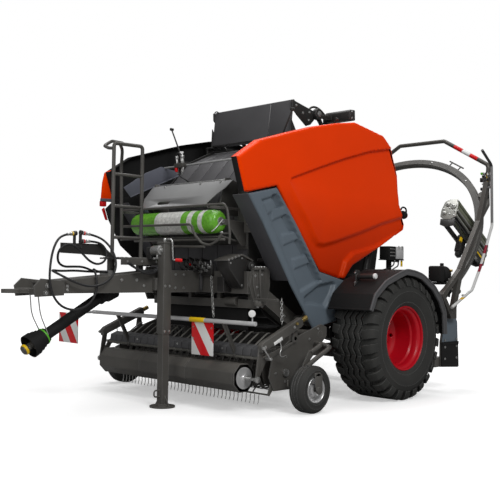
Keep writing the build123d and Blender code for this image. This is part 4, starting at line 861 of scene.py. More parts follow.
lid_lean = Matrix.Translation(at(-1.484, 0, 2.023)) @ Matrix.Rotation(math.radians(40.3), 4, "Y")
lid_lean = lid_lean @ Matrix.Translation(-at(0, 0, 0))
lid_top = plate([(-0.590, -0.012), (0.530, -0.012), (0.530, -0.180), (-0.500, -0.180), (-0.560, -0.105)],
                -0.004, 0.004, 0.0015, "X")
lid_low = plate([(-0.500, -0.178), (0.530, -0.178), (0.500, -0.290), (-0.395, -0.290)], -0.004, 0.004, 0.0015,
                "X")
lid_low.data.transform(turn_about(at(0, 0, -0.180), along_y, math.radians(-14)))
lid_low = carve(lid_low, plate([(0.115, -0.236), (0.130, -0.222), (0.285, -0.222), (0.300, -0.236),
                                (0.285, -0.256), (0.130, -0.256)], -0.08, 0.08, 0, "X"))
lid_bolts = [bolt(at(-0.004, y, -0.030), forward, 0.010) for y in (0.33, -0.18, -0.45)]
lid_parts = [lid_top, lid_low] + lid_bolts
for piece in lid_parts:
    piece.data.transform(lid_lean)
lid_pin = rod(at(-1.480, -0.500, 2.022), at(-1.480, 0.500, 2.022), 0.009, 12, 0.001)
assemble("roll_lid_dress", paint([lid_top, lid_low], lid_paint) + paint(lid_bolts + [lid_pin], bare_steel),
         "roll_lid", ("roll_lid",))

# Hood panels over the chamber's front, the rod across them and a bundle of couplings
hood_line = [(-1.312, 1.200), (-1.312, 1.560), (-1.300, 1.880), (-1.262, 1.990), (-0.980, 2.290),
             (-0.600, 2.455), (-0.320, 2.490), (-0.320, 2.478), (-0.600, 2.443), (-0.974, 2.276),
             (-1.252, 1.982), (-1.288, 1.876), (-1.300, 1.560), (-1.300, 1.200)]
hood_wide = 0.198
hood_lows = [-0.612 + 0.2045 * number for number in range(6)]
hood = [plate(hood_line, low, low + hood_wide, 0.005) for low in hood_lows]
assemble("hood_panels", paint(hood, hood_plastic), "frame", ("front_belts",))
hood_bars = [rod(at(-1.330, 0.560, 2.222), at(-1.330, -0.640, 2.236), 0.010, 12),
             plate([(-1.345, 2.250), (-1.315, 2.255), (-1.090, 2.120), (-1.140, 2.070)], -0.640, -0.630)]
bundle = []
for x, y, z, tall in ((-1.350, 0.335, 2.215, 0.075), (-1.335, 0.285, 2.205, 0.110),
                      (-1.360, 0.240, 2.225, 0.065)):
    bundle += [rod(at(x, y, z), at(x - 0.010, y, z + tall), 0.014, 6),
               rod(at(x, y, z - 0.070), at(x, y, z), 0.010, 12),
               rod(at(x - 0.010, y, z + tall), at(x - 0.012, y, z + tall + 0.030), 0.018, 16)]
bundle_block = [block(at(-1.385, 0.220, 2.205), at(-1.335, 0.350, 2.245))]
bundle_caps = [rod(at(-1.365, 0.330, 2.165), at(-1.375, 0.330, 2.205), 0.016, 14),
               rod(at(-1.346, 0.285, 2.344), at(-1.346, 0.285, 2.362), 0.020, 14)]
bundle_lines = [pipe([at(-1.362, 0.335, 2.315), at(-1.385, 0.310, 2.345), at(-1.385, 0.260, 2.340),
                      at(-1.371, 0.240, 2.310)], 0.006, 0.015),
                pipe([at(-1.360, 0.285, 2.160), at(-1.400, 0.260, 2.120), at(-1.340, 0.200, 2.070),
                      at(-1.270, 0.200, 2.030)], 0.007, 0.030)]
assemble("hood_fittings",
         paint(hood_bars, lid_paint) + paint(bundle, bare_steel) + paint(bundle_block, dark_steel) +
         paint(bundle_caps[:1], red_plastic) + paint(bundle_caps[1:], white_paint) +
         paint(bundle_lines, hose_rubber), "frame")

# Front corner of the far door with its lamp, and the dark panel behind it
lamp = block(at(-1.820, 0.930, 1.824), at(-1.762, 0.975, 1.880), 0.008)
strip = plate([(-1.806, 1.795), (-1.780, 1.815), (-1.735, 1.690), (-1.760, 1.690)], 0.940, 0.955, 0.003)
corner = plate([(-1.786, 2.166), (-1.735, 2.120), (-1.690, 1.960), (-1.690, 1.900), (-1.825, 1.900),
                (-1.812, 2.060)], 0.926, 0.950, 0.006)
arm = plate([(-1.825, 1.874), (-1.825, 1.902), (-1.690, 1.905), (-1.670, 1.885), (-1.690, 1.874)], 0.920,
            0.955, 0.003)
panel = plate([(-1.790, 1.800), (-1.680, 1.900), (-1.258, 2.000), (-1.110, 1.880), (-1.080, 1.560),
               (-1.200, 1.235), (-1.330, 1.235), (-1.600, 1.440), (-1.750, 1.690)], 0.906, 0.918, 0.004)
assemble("far_door_corner",
         paint([corner], orange_paint) + paint([lamp], red_plastic) + paint([arm], wing_paint), "door_right")
assemble("far_guard_panel", paint([panel], guard_plastic) + paint([strip], red_plastic), "frame")

# Hinge arms of the doors: slim bars from the chamber's walls to their knuckles
hinge_dark = []
hinge_steel = []
for x, wall_z in ((-1.000, 2.280), (-0.350, 2.480)):
    hinge_dark += [rod(at(x, -0.630, wall_z), at(x, -0.846, 2.676), 0.008, 12)]
    hinge_dark += [block(at(x - 0.050, -0.641, wall_z - 0.060), at(x + 0.050, -0.627, wall_z + 0.050), 0.003),
                   rod(at(x - 0.018, -0.850, 2.688), at(x + 0.018, -0.850, 2.688), 0.015, 20)]
    hinge_steel += [bolt(at(x + side * 0.034, -0.641, wall_z - 0.030), -along_y, 0.008) for side in (-1, 1)]
assemble_pair("hinge_arms_{}", ((hinge_dark, black_paint), (hinge_steel, bare_steel)), "frame",
              "door_brackets")

# Fenders
fender_line = [(-0.615, 0.867), (-0.548, 1.009), (-0.380, 1.130), (-0.154, 1.208), (-0.041, 1.236),
               (0.110, 1.219), (0.236, 1.189), (0.443, 1.078), (0.572, 0.952), (0.649, 0.814), (0.663, 0.600)]
fender_low = [(-0.602, 0.862), (-0.537, 0.998), (-0.372, 1.116), (-0.150, 1.193), (-0.041, 1.221),
              (0.108, 1.204), (0.230, 1.174), (0.434, 1.064), (0.560, 0.940), (0.634, 0.809), (0.648, 0.600)]
lip_low = [(-0.573, 0.853), (-0.512, 0.975), (-0.354, 1.085), (-0.141, 1.158), (-0.041, 1.187),
           (0.102, 1.171), (0.216, 1.143), (0.411, 1.036), (0.531, 0.918), (0.601, 0.799), (0.614, 0.600)]
fender = [plate(fender_line + fender_low[::-1], -1.458, -0.985, 0.003, angle=25.0)]
for x, z in ((-0.230, 1.165), (0.430, 1.042)):
    fender += [block(at(x - 0.015, -1.100, z - 0.020), at(x + 0.015, -0.740, z + 0.020)),
               block(at(x - 0.020, -0.740, 0.500), at(x + 0.020, -0.720, z + 0.015))]
fender += [rod(at(-0.612, -1.460, 0.868), at(-0.612, -0.985, 0.868), 0.010, 10)]
lips = [plate(fender_line + lip_low[::-1], -1.474, -1.452, 0.004, angle=25.0),
        pipe([at(x, -1.471, z) for x, z in fender_line], 0.010, 0.040)]
lamp_parts = [rod(at(-0.400, -1.150, 1.165), at(-0.400, -1.350, 1.170), 0.024, 20),
              block(at(-0.430, -1.165, 1.095), at(-0.370, -1.153, 1.225)),
              rod(at(-0.430, -1.170, 1.120), at(-0.460, -1.170, 1.080), 0.006, 10)]
lens = [rod(at(-0.400, -1.350, 1.170), at(-0.400, -1.374, 1.171), 0.026, 20, 0.006)]
lamp_bolts = [bolt(at(-0.435, -1.159, z), forward, 0.008) for z in (1.11, 1.20)]
assemble_pair("fender_arch_{}",
              ((fender, guard_plastic), (lips, lip_plastic), (lamp_parts, black_paint), (lens, white_paint),
               (lamp_bolts, bare_steel)), "frame", "fender_{}")


# Parking jack
def on_jack(x, y, z):
    """Point by its place from the jack's middle."""
    return at(x - 1.968, y - 0.233, z)


jack_parts = [block(on_jack(-0.045, -0.045, 0.640), on_jack(0.045, 0.045, 1.430), 0.006),
              block(on_jack(-0.050, -0.050, 1.430), on_jack(0.050, 0.050, 1.448), 0.004),
              block(on_jack(-0.060, 0.045, 1.020), on_jack(0.060, 0.093, 1.130), 0.004)]
jack_steel = [rod(on_jack(0, 0, 1.448), on_jack(0, 0, 1.478), 0.017, 20),
              pipe([on_jack(0, 0, 1.470), on_jack(0.020, -0.075, 1.470),
                    on_jack(0.028, -0.082, 1.290)], 0.008, 0.025),
              rod(on_jack(0.028, -0.082, 1.290), on_jack(0.055, -0.110, 1.288), 0.006, 12)]
jack_steel += [bolt(on_jack(x, -0.045, z), -along_y, 0.008) for x in (-0.025, 0.025) for z in (0.665, 1.06)]
grip = [rod(on_jack(0.040, -0.095, 1.289), on_jack(0.085, -0.140, 1.286), 0.015, 16, 0.004)]
assemble("jack_dress",
         paint(jack_parts, frame_paint) + paint(jack_steel, bare_steel) + paint(grip, red_plastic), "frame",
         ("jack_tube",))

# Drawbar: hitch bolts, accumulator and lines below the platform
small_steel = [bolt(at(x, -0.154, z), -along_y, 0.015) for x, z in ((-3.095, 1.062), (-3.110, 1.005))]
small_steel += [bolt(at(x, 0.154, z), along_y, 0.015) for x, z in ((-3.095, 1.062), (-3.110, 1.005))]
small_steel += [rod(at(-2.015, -0.130, 1.370), at(-2.015, -0.245, 1.372), 0.044, 28, 0.008),
                rod(at(-2.015, -0.245, 1.372), at(-2.015, -0.262, 1.372), 0.018, 6),
                rod(at(-2.015, -0.190, 1.330), at(-2.015, -0.190, 1.300), 0.012, 12),
                rod(at(-2.060, -0.190, 1.300), at(-1.975, -0.190, 1.300), 0.010, 12)]
small_dark = [block(at(-2.045, -0.135, 1.296), at(-1.985, -0.070, 1.400), 0.004)]
small_lines = []
for number in range(3):
    y = -0.180 - 0.020 * number
    drop = 0.012 * number
    small_lines.append(pipe([at(-2.310, y + 0.030, 1.255), at(-2.230, y, 1.200 - drop),
                             at(-2.080, y, 1.185 - drop), at(-1.960, -0.160, 1.225),
                             at(-1.930, -0.120, 1.270)], 0.0085, 0.060))
assemble("drawbar_fittings", paint(small_steel, bare_steel) + paint(small_dark, black_paint) +
         paint(small_lines, hose_rubber), "frame")

# Drive shaft: ribbed cone, collars, strap and yoke
shaft_front = at(-3.182, 0, 0.559)
shaft_way = (at(-2.330, 0, 1.049) - shaft_front).normalized()
cross_way = shaft_way.cross(along_y)


def on_shaft(along, across=0.0, lift=0.0):
    """Point by its place along the shaft, across it level and across it upright."""
    return shaft_front + shaft_way * along + along_y * across + cross_way * lift


cone_line = [(0.048, 0.205), (0.058, 0.200), (0.060, 0.180), (0.070, 0.176), (0.070, 0.152), (0.080, 0.148),
             (0.080, 0.122), (0.089, 0.118), (0.089, 0.090), (0.097, 0.086), (0.099, 0.030), (0.092, 0.030),
             (0.083, 0.110), (0.060, 0.170), (0.042, 0.190)]
cone = turned(cone_line, shaft_front, shaft_way, 48)
tube_line = [(0.030, 0.190), (0.047, 0.190), (0.047, 0.500), (0.050, 0.502), (0.050, 0.512), (0.047, 0.514),
             (0.047, 0.800), (0.058, 0.806), (0.066, 0.850), (0.078, 0.860), (0.088, 0.950), (0.080, 0.950),
             (0.056, 0.860), (0.030, 0.806)]
guard_tube = turned(tube_line, shaft_front, shaft_way, 48)
collars = [rod(on_shaft(start), on_shaft(start + 0.018), 0.062, 32) for start in (0.192, 0.788)]
bright_ring = rod(on_shaft(0.176), on_shaft(0.190), 0.072, 32)
straps = [pipe([at(-3.120, side * 0.060, 0.992),
                at(-3.100, side * 0.066, 0.830),
                on_shaft(0.198, side * 0.055)], 0.005, 0.05) for side in (-1, 1)]
hanger = block(at(-3.140, -0.070, 0.990), at(-3.100, 0.070, 1.000), 0.002)
assemble("shaft_guard_dress", paint([cone, guard_tube], guard_plastic) + paint(collars, guard_plastic) +
         paint([bright_ring], green_plastic) + paint(straps, bare_steel) + paint([hanger], black_paint),
         "frame", ("shaft_guard",))
yoke = [rod(on_shaft(-0.030), on_shaft(0.012), 0.036, 28, 0.004),
        rod(on_shaft(0.020), on_shaft(0.960), 0.028, 24)]
for side in (-1, 1):
    yoke += [rod(on_shaft(0.010, side * 0.028), on_shaft(0.085, side * 0.034), 0.014, 16),
             rod(on_shaft(0.130, 0, side * 0.028), on_shaft(0.070, 0, side * 0.034), 0.014, 16)]
yoke += [rod(on_shaft(0.080, -0.045), on_shaft(0.080, 0.045), 0.014, 16),
         rod(on_shaft(0.080, 0, -0.045), on_shaft(0.080, 0, 0.045), 0.014, 16),
         rod(on_shaft(0.930), on_shaft(0.975), 0.040, 24)]
lock = [rod(on_shaft(-0.020), on_shaft(0.002), 0.044, 28, 0.004)]
assemble("drive_shaft_dress", paint(yoke, dark_steel) + paint(lock, yellow_plastic), "drive_shaft",
         ("drive_shaft",))

# Marker bar with its striped boards
marker_grey = [rod(at(-1.740, -1.137, 0.766), at(-1.740, 1.158, 0.765), 0.019, 24, 0.003),
               block(at(-1.950, 1.110, 0.753), at(-1.740, 1.140, 0.777), 0.002),
               rod(at(-1.740, -1.098, 0.780), at(-1.740, -1.098, 0.835), 0.006, 10)]
round_white = [rod(at(-1.748, -1.102, 0.850), at(-1.758, -1.108, 0.850), 0.030, 28, 0.003)]
marker_dark = []
for side in (-1, 1):
    marker_dark += [plate([(-1.590, 0.452), (-1.755, 0.757), (-1.722, 0.775), (-1.557, 0.470)],
                          side * 0.750 - 0.010, side * 0.750 + 0.010, 0.003),
                    rod(at(-1.580, side * 0.750 - 0.020, 0.467), at(-1.580, side * 0.750 + 0.020, 0.467),
                        0.027, 20)]
clip = [rod(at(-1.740, -0.520, 0.766), at(-1.740, -0.330, 0.766), 0.0215, 24, 0.002)]
boards = [block(at(-1.726, -0.612, 0.457), at(-1.719, -0.332, 0.757), 0.001),
          block(at(-1.951, 1.112, 0.457), at(-1.944, 1.448, 0.757), 0.001)]
board_backs = [block(at(-1.719, -0.606, 0.463), at(-1.715, -0.338, 0.751), 0.001),
               block(at(-1.944, 1.118, 0.463), at(-1.940, 1.442, 0.751), 0.001)]
board_bolts = [bolt(at(-1.726, y, z), forward, 0.006) for y in (-0.590, -0.355) for z in (0.60, 0.70)]
assemble("marker_boards", paint(marker_grey, silver_paint) + paint(round_white, white_paint) +
         paint(marker_dark, frame_paint) + paint(clip, yellow_plastic) + paint(boards, board_stripes) +
         paint(board_backs + board_bolts, bare_steel), "wind_guard", ("marker_bar",))

# Wind guard: bar, slanting flats and the comb of short plates in front of them
flats = [rod(at(-1.580, -1.080, 0.467), at(-1.580, 1.080, 0.467), 0.017, 20)]
comb = []
for number in range(20):
    y = -0.950 + 0.100 * number
    flats += [plate([(-1.588, 0.470), (-1.583, 0.476), (-1.300, 0.654), (-1.268, 0.658), (-1.266, 0.652),
                     (-1.298, 0.647), (-1.580, 0.466)], y - 0.008, y + 0.008, 0.001),
              rod(at(-1.580, y - 0.014, 0.467), at(-1.580, y + 0.014, 0.467), 0.021, 16)]
for number in range(21):
    y = -1.000 + 0.100 * number
    comb.append(plate([(-1.606, 0.480), (-1.598, 0.545), (-1.520, 0.572), (-1.516, 0.560), (-1.588, 0.535),
                       (-1.596, 0.478)], y - 0.047, y + 0.047, 0.004))
comb_bolts = [bolt(at(-1.604, y, 0.520), Vector((-1, 0, 0.1)), 0.008) for y in (-0.60, 0.0, 0.60)]
assemble("wind_guard_flats",
         paint(flats, rod_paint) + paint(comb, lip_plastic) + paint(comb_bolts, bare_steel), "wind_guard",
         ("wind_guard",))

# Arms of the wind guard: strut, blank plate, springs, pin link and its bolts
arm_parts = []
arm_bright = []
arm_brass = []
arm_plate = []
strut_way = (at(-1.195, 0, 0.748) - at(-1.640, 0, 0.562)).normalized()
strut_low = at(-1.640, -1.112, 0.562)
for along in (0.020, 0.415):
    arm_bright += [bolt(strut_low + strut_way * along + Vector((0, -0.027, 0)), -along_y, 0.010)]
arm_parts += [plate([(-1.655, 0.525), (-1.668, 0.580), (-1.640, 0.610), (-1.170, 0.803), (-1.148, 0.792),
                     (-1.136, 0.742), (-1.160, 0.720)], -1.139, -1.085, 0.005),
              plate([(-1.240, 0.600), (-1.222, 0.742), (-1.180, 0.742), (-1.166, 0.600)], -1.100, -1.080,
                    0.003),
              rod(at(-1.200, -1.078, 0.620), at(-1.200, -1.098, 0.620), 0.036, 28),
              plate([(-1.225, 0.590), (-1.232, 0.640), (-1.170, 0.645), (-1.168, 0.595), (-1.560, 0.440),
                     (-1.665, 0.272), (-1.705, 0.290), (-1.595, 0.485)], -1.090, -1.080, 0.002),
              plate([(-1.655, 0.600), (-1.600, 0.580), (-1.652, 0.285), (-1.700, 0.285)], -1.102, -1.090,
                    0.003)]
arm_bright += [rod(at(-1.680, -0.955, 0.300), at(-1.680, -1.100, 0.300), 0.014, 16),
               rod(at(-1.680, -1.092, 0.300), at(-1.680, -1.118, 0.300), 0.026, 24),
               rod(at(-1.655, -1.150, 0.562), at(-1.572, -1.150, 0.468), 0.007, 12),
               rod(at(-1.655, -1.140, 0.562), at(-1.655, -1.164, 0.562), 0.015, 16),
               rod(at(-1.572, -1.100, 0.468), at(-1.572, -1.164, 0.468), 0.013, 16),
               pipe([at(-1.452, -1.146, 0.600), at(-1.432, -1.152, 0.560), at(-1.470, -1.156, 0.500),
                     at(-1.430, -1.156, 0.470), at(-1.380, -1.154, 0.500), at(-1.370, -1.150, 0.470)], 0.005,
                    0.030)]
arm_plate += [plate([(-1.512, 0.578), (-1.522, 0.604), (-1.420, 0.648), (-1.409, 0.622)], -1.142, -1.139,
                    0.001)]
for number in range(7):
    spot = at(-1.160, -1.112, 0.764) + strut_way * (0.014 * number)
    arm_brass += [rod(spot, spot + strut_way * 0.008, 0.022, 18, 0.003)]
arm_brass += [rod(at(-1.235, -1.139, 0.752), at(-1.235, -1.158, 0.752), 0.012, 14)]
assemble_pair("arm_dress_{}", ((arm_parts, frame_paint), (arm_bright, bare_steel), (arm_brass, brass),
                               (arm_plate, white_paint)), "wind_guard", "roller_arms")

# Press roller: eight-sided tube in sections, with dished ends
roller_x, roller_z, roller_r = -1.680, 0.300, 0.1275
turns = [math.radians(45 * number + 22.5) for number in range(8)]
corners = [(roller_x + roller_r * math.cos(turn), roller_z + roller_r * math.sin(turn)) for turn in turns]
wide_corners = [(roller_x + (x - roller_x) * 1.012, roller_z + (z - roller_z) * 1.012) for x, z in corners]
roller = [plate(corners, low, high, 0.006, angle=25.0)
          for low, high in ((-0.948, -0.322), (-0.314, 0.314), (0.322, 0.948))]
roller += [plate(wide_corners, low, low + 0.022, 0.003) for low in (-0.329, 0.307, -0.948, 0.926)]
dishes = [turned([(0.0, -0.966), (0.024, -0.966), (0.032, -0.958), (0.070, -0.953), (0.086, -0.957),
                  (0.092, -0.955), (0.092, -0.946), (0.0, -0.946)], at(roller_x, 0, roller_z), along_y, 40)]
dishes += [mirrored(dishes[0])]
assemble("roller_tube", paint(roller, frame_paint) + paint(dishes, silver_paint), "press_roller",
         ("press_roller",))

# Row of thin tines below the reel, and the fittings of the pickup's side plates
tine_bar = [rod(at(-1.487, -1.056, 0.152), at(-1.487, 1.056, 0.152), 0.008, 12)]
for side in (-1, 1):
    tine_bar += [plate([(-1.440, 0.185), (-1.470, 0.240), (-1.500, 0.160), (-1.480, 0.138)],
                       side * 1.054 - 0.004, side * 1.054 + 0.004, 0.001)]
thin_tine = pipe([at(-1.487, 0, 0.152), at(-1.500, 0, 0.135), at(-1.496, 0, 0.100), at(-1.508, 0, 0.062)],
                 0.0038, 0.012, 3)
tines = [moved_copy(thin_tine, Matrix.Translation((0, -0.950 + 0.050 * number, 0))) for number in range(39)]
scrap([thin_tine])
side_bolts = [bolt(at(x, -1.072, z), -along_y, 0.009)
              for x, z in ((-0.979, 0.602), (-1.420, 0.330), (-1.300, 0.250), (-0.860, 0.690))]
side_bolts += [rod(at(-1.300, -1.072, 0.330), at(-1.300, -1.092, 0.330), 0.034, 24)]
loop = [pipe([at(-1.395, -1.190, 0.285), at(-1.395, -1.190, 0.225), at(-1.300, -1.190, 0.225),
              at(-1.300, -1.190, 0.285)], 0.006, 0.018)]
arm_cover = [plate([(-1.262, 0.290), (-1.256, 0.330), (-1.225, 0.350), (-1.170, 0.330), (-1.165, 0.180),
                    (-1.200, 0.160), (-1.245, 0.180)], -1.382, -1.374, 0.002),
             block(at(-1.262, -1.382, 0.318), at(-1.190, -1.180, 0.350), 0.004),
             rod(at(-1.222, -1.374, 0.203), at(-1.222, -1.396, 0.203), 0.026, 20)]
gauge_tube = [pipe([at(-0.900, -1.060, 0.560), at(-0.900, -1.180, 0.560), at(-0.860, -1.215, 0.530),
                    at(-1.040, -1.215, 0.455), at(-1.250, -1.205, 0.340)], 0.021, 0.050)]
low_parts = tine_bar + loop + arm_cover + gauge_tube
assemble("pickup_fittings", paint(low_parts, frame_paint) + paint(tines + side_bolts, bare_steel), "pickup")

# Chains that hold the pickup's guard
chains = []
for start, end, count in ((at(-1.500, -0.335, 1.150), at(-1.500, -0.373, 0.780), 15),
                          (at(-1.277, -1.000, 0.966), at(-1.290, -1.020, 0.740), 9)):
    step = (end - start) / count
    turn = step.to_track_quat("Z", "Y")
    for number in range(count):
        clear()
        bpy.ops.mesh.primitive_torus_add(major_segments=16, minor_segments=8, major_radius=0.0105,
                                         minor_radius=0.0034)
        link = bpy.context.object
        link.scale = (1.45, 1.0, 1.0)
        settle()
        lie = Matrix.Rotation(math.radians(90), 4, "Y")
        around = Matrix.Rotation(math.radians(90 * (number % 2)), 4, "Z")
        place = Matrix.Translation(start + step * (number + 0.5))
        link.data.transform(place @ turn.to_matrix().to_4x4() @ around @ lie)
        chains.append(soften(link, 0, angle=60.0))
assemble("guard_chains", paint(chains, bare_steel), "frame")

# Wrapping ring and the dispensers on it
ring_centre = at(1.559, 0, 1.514)
lean = math.radians(32.9)
ring_axis = Vector((math.cos(lean), 0, -math.sin(lean)))
ring_up = Vector((math.sin(lean), 0, math.cos(lean)))
holder_angle = 83.0
rod_angle = 30.0


def on_ring(radial, across, along, angle=holder_angle):
    """Point by its place out from the ring's middle, along its rim and along its axis."""
    turn = math.radians(angle)
    out = ring_up * math.cos(turn) - along_y * math.sin(turn)
    return ring_centre + out * radial + ring_axis.cross(out) * across + ring_axis * along


def ring_plate(outline, low, high, chamfer=0.003):
    """Plate square to the ring's axis, with its outline in radial and rim places."""
    corners = [on_ring(radial, across, low) for radial, across in outline]
    return slab(corners, ring_axis * (high - low), chamfer)


def ring_bar(radial, across, low, high, radius, sides=20, chamfer=0.002):
    return rod(on_ring(radial, across, low), on_ring(radial, across, high), radius, sides, chamfer)


def ring_box(radial, across, along, chamfer=0.003):
    low, high = radial
    first, last = across
    return ring_plate([(low, first), (high, first), (high, last), (low, last)], *along, chamfer)


ring_line = [(1.240, -0.040), (1.304, -0.040), (1.313, -0.031), (1.313, -0.012), (1.306, -0.008),
             (1.306, 0.008), (1.313, 0.012), (1.313, 0.031), (1.304, 0.040), (1.240, 0.040), (1.233, 0.033),
             (1.233, 0.016), (1.239, 0.012), (1.239, -0.012), (1.233, -0.016), (1.233, -0.033)]
ring = [turned(ring_line, ring_centre, ring_axis, 128)]
ring_bolts = [bolt(on_ring(1.272, 0, -0.040, 15.0 + 30.0 * number), -ring_axis, 0.009)
              for number in range(12)]
holder_rod = [rod(on_ring(1.360, -0.130, -0.020, rod_angle), on_ring(1.360, 0.130, -0.020, rod_angle),
                  0.009, 12)]
for across in (-0.080, 0.080):
    holder_rod += [rod(on_ring(1.305, across, -0.020, rod_angle), on_ring(1.360, across, -0.020, rod_angle),
                       0.008, 10)]
assemble("ring_body", paint(ring + holder_rod, frame_paint) + paint(ring_bolts, bare_steel), "wrap_ring",
         ("wrap_ring",))
end_line = [(1.010, -0.080), (1.035, -0.190), (1.085, -0.215), (1.190, -0.205), (1.205, -0.120),
            (1.205, 0.030), (1.150, 0.060), (1.060, 0.050), (1.015, 0.010)]
low_line = [(1.020, 0.035), (1.150, 0.060), (1.200, 0.045), (1.195, 0.150), (1.100, 0.155), (1.028, 0.115)]
light = [ring_plate(end_line, -0.400, -0.392, 0.002), ring_plate(end_line, 0.392, 0.400, 0.002),
         ring_box((1.196, 1.216), (-0.064, -0.042), (-0.392, 0.392), 0.003),
         ring_box((1.196, 1.214), (0.006, 0.024), (-0.392, 0.392), 0.003)]
light += [ring_bar(radial, across, -0.412, -0.400, radius, 24, 0.004) for radial, across, radius in
          ((1.155, -0.112, 0.038), (1.080, -0.150, 0.030), (1.060, -0.030, 0.026))]
light += [ring_plate([(1.190, 0.030), (1.206, 0.030), (1.206, 0.066), (1.190, 0.066)], 0.200, 0.384, 0.004)]
olive = [ring_bar(1.158, -0.112, -0.392, 0.392, 0.045, 32, 0.004),
         ring_bar(1.172, -0.192, -0.392, 0.392, 0.019, 24),
         ring_bar(1.108, -0.010, -0.384, 0.384, 0.030, 28, 0.004),
         ring_bar(1.085, -0.150, -0.392, 0.392, 0.030, 24)]
dark = [ring_plate(low_line, -0.396, -0.384, 0.004),
        ring_plate(low_line, 0.384, 0.396, 0.004),
        ring_box((1.186, 1.200), (0.060, 0.074), (-0.384, 0.384)),
        ring_box((1.186, 1.200), (0.130, 0.146), (-0.384, 0.384)),
        ring_bar(1.075, 0.095, -0.384, 0.384, 0.026, 24, 0.004),
        ring_box((1.150, 1.190), (-0.030, 0.000), (-0.384, 0.384)),
        ring_box((1.190, 1.240), (-0.065, 0.045), (-0.038, 0.038), 0.006),
        ring_box((1.184, 1.202), (0.078, 0.126), (0.050, 0.380), 0.002),
        ring_box((1.110, 1.180), (0.146, 0.300), (-0.140, -0.040), 0.010),
        ring_box((1.115, 1.170), (0.290, 0.345), (-0.125, -0.055), 0.012),
        ring_bar(1.150, 0.120, -0.150, -0.030, 0.030)]
for along in (-0.384, -0.250, -0.090, 0.030, 0.372):
    dark += [ring_box((1.186, 1.200), (0.060, 0.146), (along, along + 0.014), 0.002)]
strips = [ring_box((1.201, 1.205), (0.088, 0.112), (0.080, 0.370), 0.001),
          ring_box((1.172, 1.192), (0.150, 0.200), (-0.180, -0.145), 0.002)]
dots = [bolt(on_ring(radial, across, -0.400), -ring_axis, 0.008) for radial, across in
        ((1.110, -0.090), (1.120, -0.010), (1.180, 0.020), (1.190, -0.180), (1.040, -0.090), (1.180, -0.040))]
dots += [bolt(on_ring(radial, across, -0.412), -ring_axis, 0.010) for radial, across in
         ((1.155, -0.112), (1.080, -0.150), (1.060, -0.030))]
assemble_pair("film_holder_{}", ((light, film_metal), (olive, film_olive), (dark, black_paint),
                                 (strips, yellow_plastic), (dots, bare_steel)), "wrap_ring",
              "dispenser_{}", turn_about(ring_centre, ring_axis, math.pi))

# Film knives beside the ring
knife_dark = [plate([(1.600, 2.165), (1.642, 2.322), (1.668, 2.316), (1.630, 2.155)], -1.355, -1.343, 0.002),
              plate([(1.690, 2.035), (1.735, 2.312), (1.762, 2.304), (1.718, 2.032)], -1.355, -1.343, 0.002),
              plate([(1.618, 2.120), (1.640, 2.092), (1.700, 2.060), (1.745, 2.080), (1.735, 2.110),
                     (1.650, 2.150)], -1.343, -1.325, 0.003),
              block(at(1.612, -1.345, 2.215), at(1.662, -1.302, 2.262), 0.006),
              block(at(1.648, -1.340, 2.268), at(1.696, -1.306, 2.296), 0.005),
              block(at(1.716, -1.345, 2.158), at(1.772, -1.302, 2.206), 0.006),
              block(at(1.728, -1.345, 2.238), at(1.782, -1.305, 2.268), 0.005),
              rod(at(1.640, -1.355, 2.140), at(1.640, -1.302, 2.140), 0.018, 20),
              rod(at(1.706, -1.355, 2.060), at(1.706, -1.302, 2.060), 0.022, 20),
              rod(at(1.700, -1.330, 2.070), at(1.752, -1.330, 2.160), 0.012, 14)]
knife_bright = [rod(at(1.655, -1.322, 2.235), at(1.730, -1.322, 2.252), 0.008, 14),
                rod(at(1.706, -1.322, 2.180), at(1.630, -1.322, 2.196), 0.007, 14),
                rod(at(1.742, -1.325, 2.300), at(1.752, -1.325, 2.327), 0.010, 14),
                rod(at(1.655, -1.325, 2.300), at(1.640, -1.325, 2.325), 0.009, 14)]
knife_bright += [bolt(at(x, -1.355, z), -along_y, 0.008)
                 for x, z in ((1.640, 2.280), (1.622, 2.190), (1.712, 2.110), (1.744, 2.290))]
knife_yellow = [plate([(1.752, 2.310), (1.768, 2.320), (1.806, 2.212), (1.790, 2.202)], -1.304, -1.300,
                      0.001),
                block(at(1.622, -1.343, 2.168), at(1.650, -1.335, 2.186), 0.002)]
knife_green = [rod(at(1.618, -1.325, 2.296), at(1.606, -1.325, 2.318), 0.012, 14)]
assemble_pair("film_knives_{}",
              ((knife_dark, black_paint), (knife_bright, bare_steel), (knife_yellow, yellow_plastic),
               (knife_green, green_plastic)), "frame", "film_cutters")

# Stripes on the hoop, plates and flaps of the rear feet
hoop_top = at(2.475, -0.330, 2.870)
hoop_low = at(2.475, -0.940, 2.520)
red_bands = [rod(hoop_top.lerp(hoop_low, first), hoop_top.lerp(hoop_low, last), 0.0258, 24, 0.001)
             for first, last in ((0.24, 0.43), (0.60, 0.77))]
white_band = [rod(hoop_top.lerp(hoop_low, 0.43), hoop_top.lerp(hoop_low, 0.60), 0.0256, 24, 0.001)]
foot_plate = [plate([(0.862, 0.850), (0.995, 0.850), (1.094, 0.700), (1.108, 0.500), (0.796, 0.500)], -1.342,
                    -1.336, 0.002)]
foot_dark = [plate([(0.788, 0.495), (1.110, 0.495), (1.122, 0.232), (0.788, 0.254)], -1.346, -1.336, 0.003),
             block(at(0.788, -1.352, 0.470), at(1.110, -1.346, 0.500), 0.002)]
foot_bolts = [bolt(at(x, -1.347, z), -along_y, 0.009) for x in (0.845, 1.070) for z in (0.520, 0.450, 0.330)]
assemble_pair("rear_foot_{}", ((red_bands, red_plastic), (white_band, white_paint), (foot_plate, guard_paint),
                               (foot_dark, guard_plastic), (foot_bolts, bare_steel)), "frame")

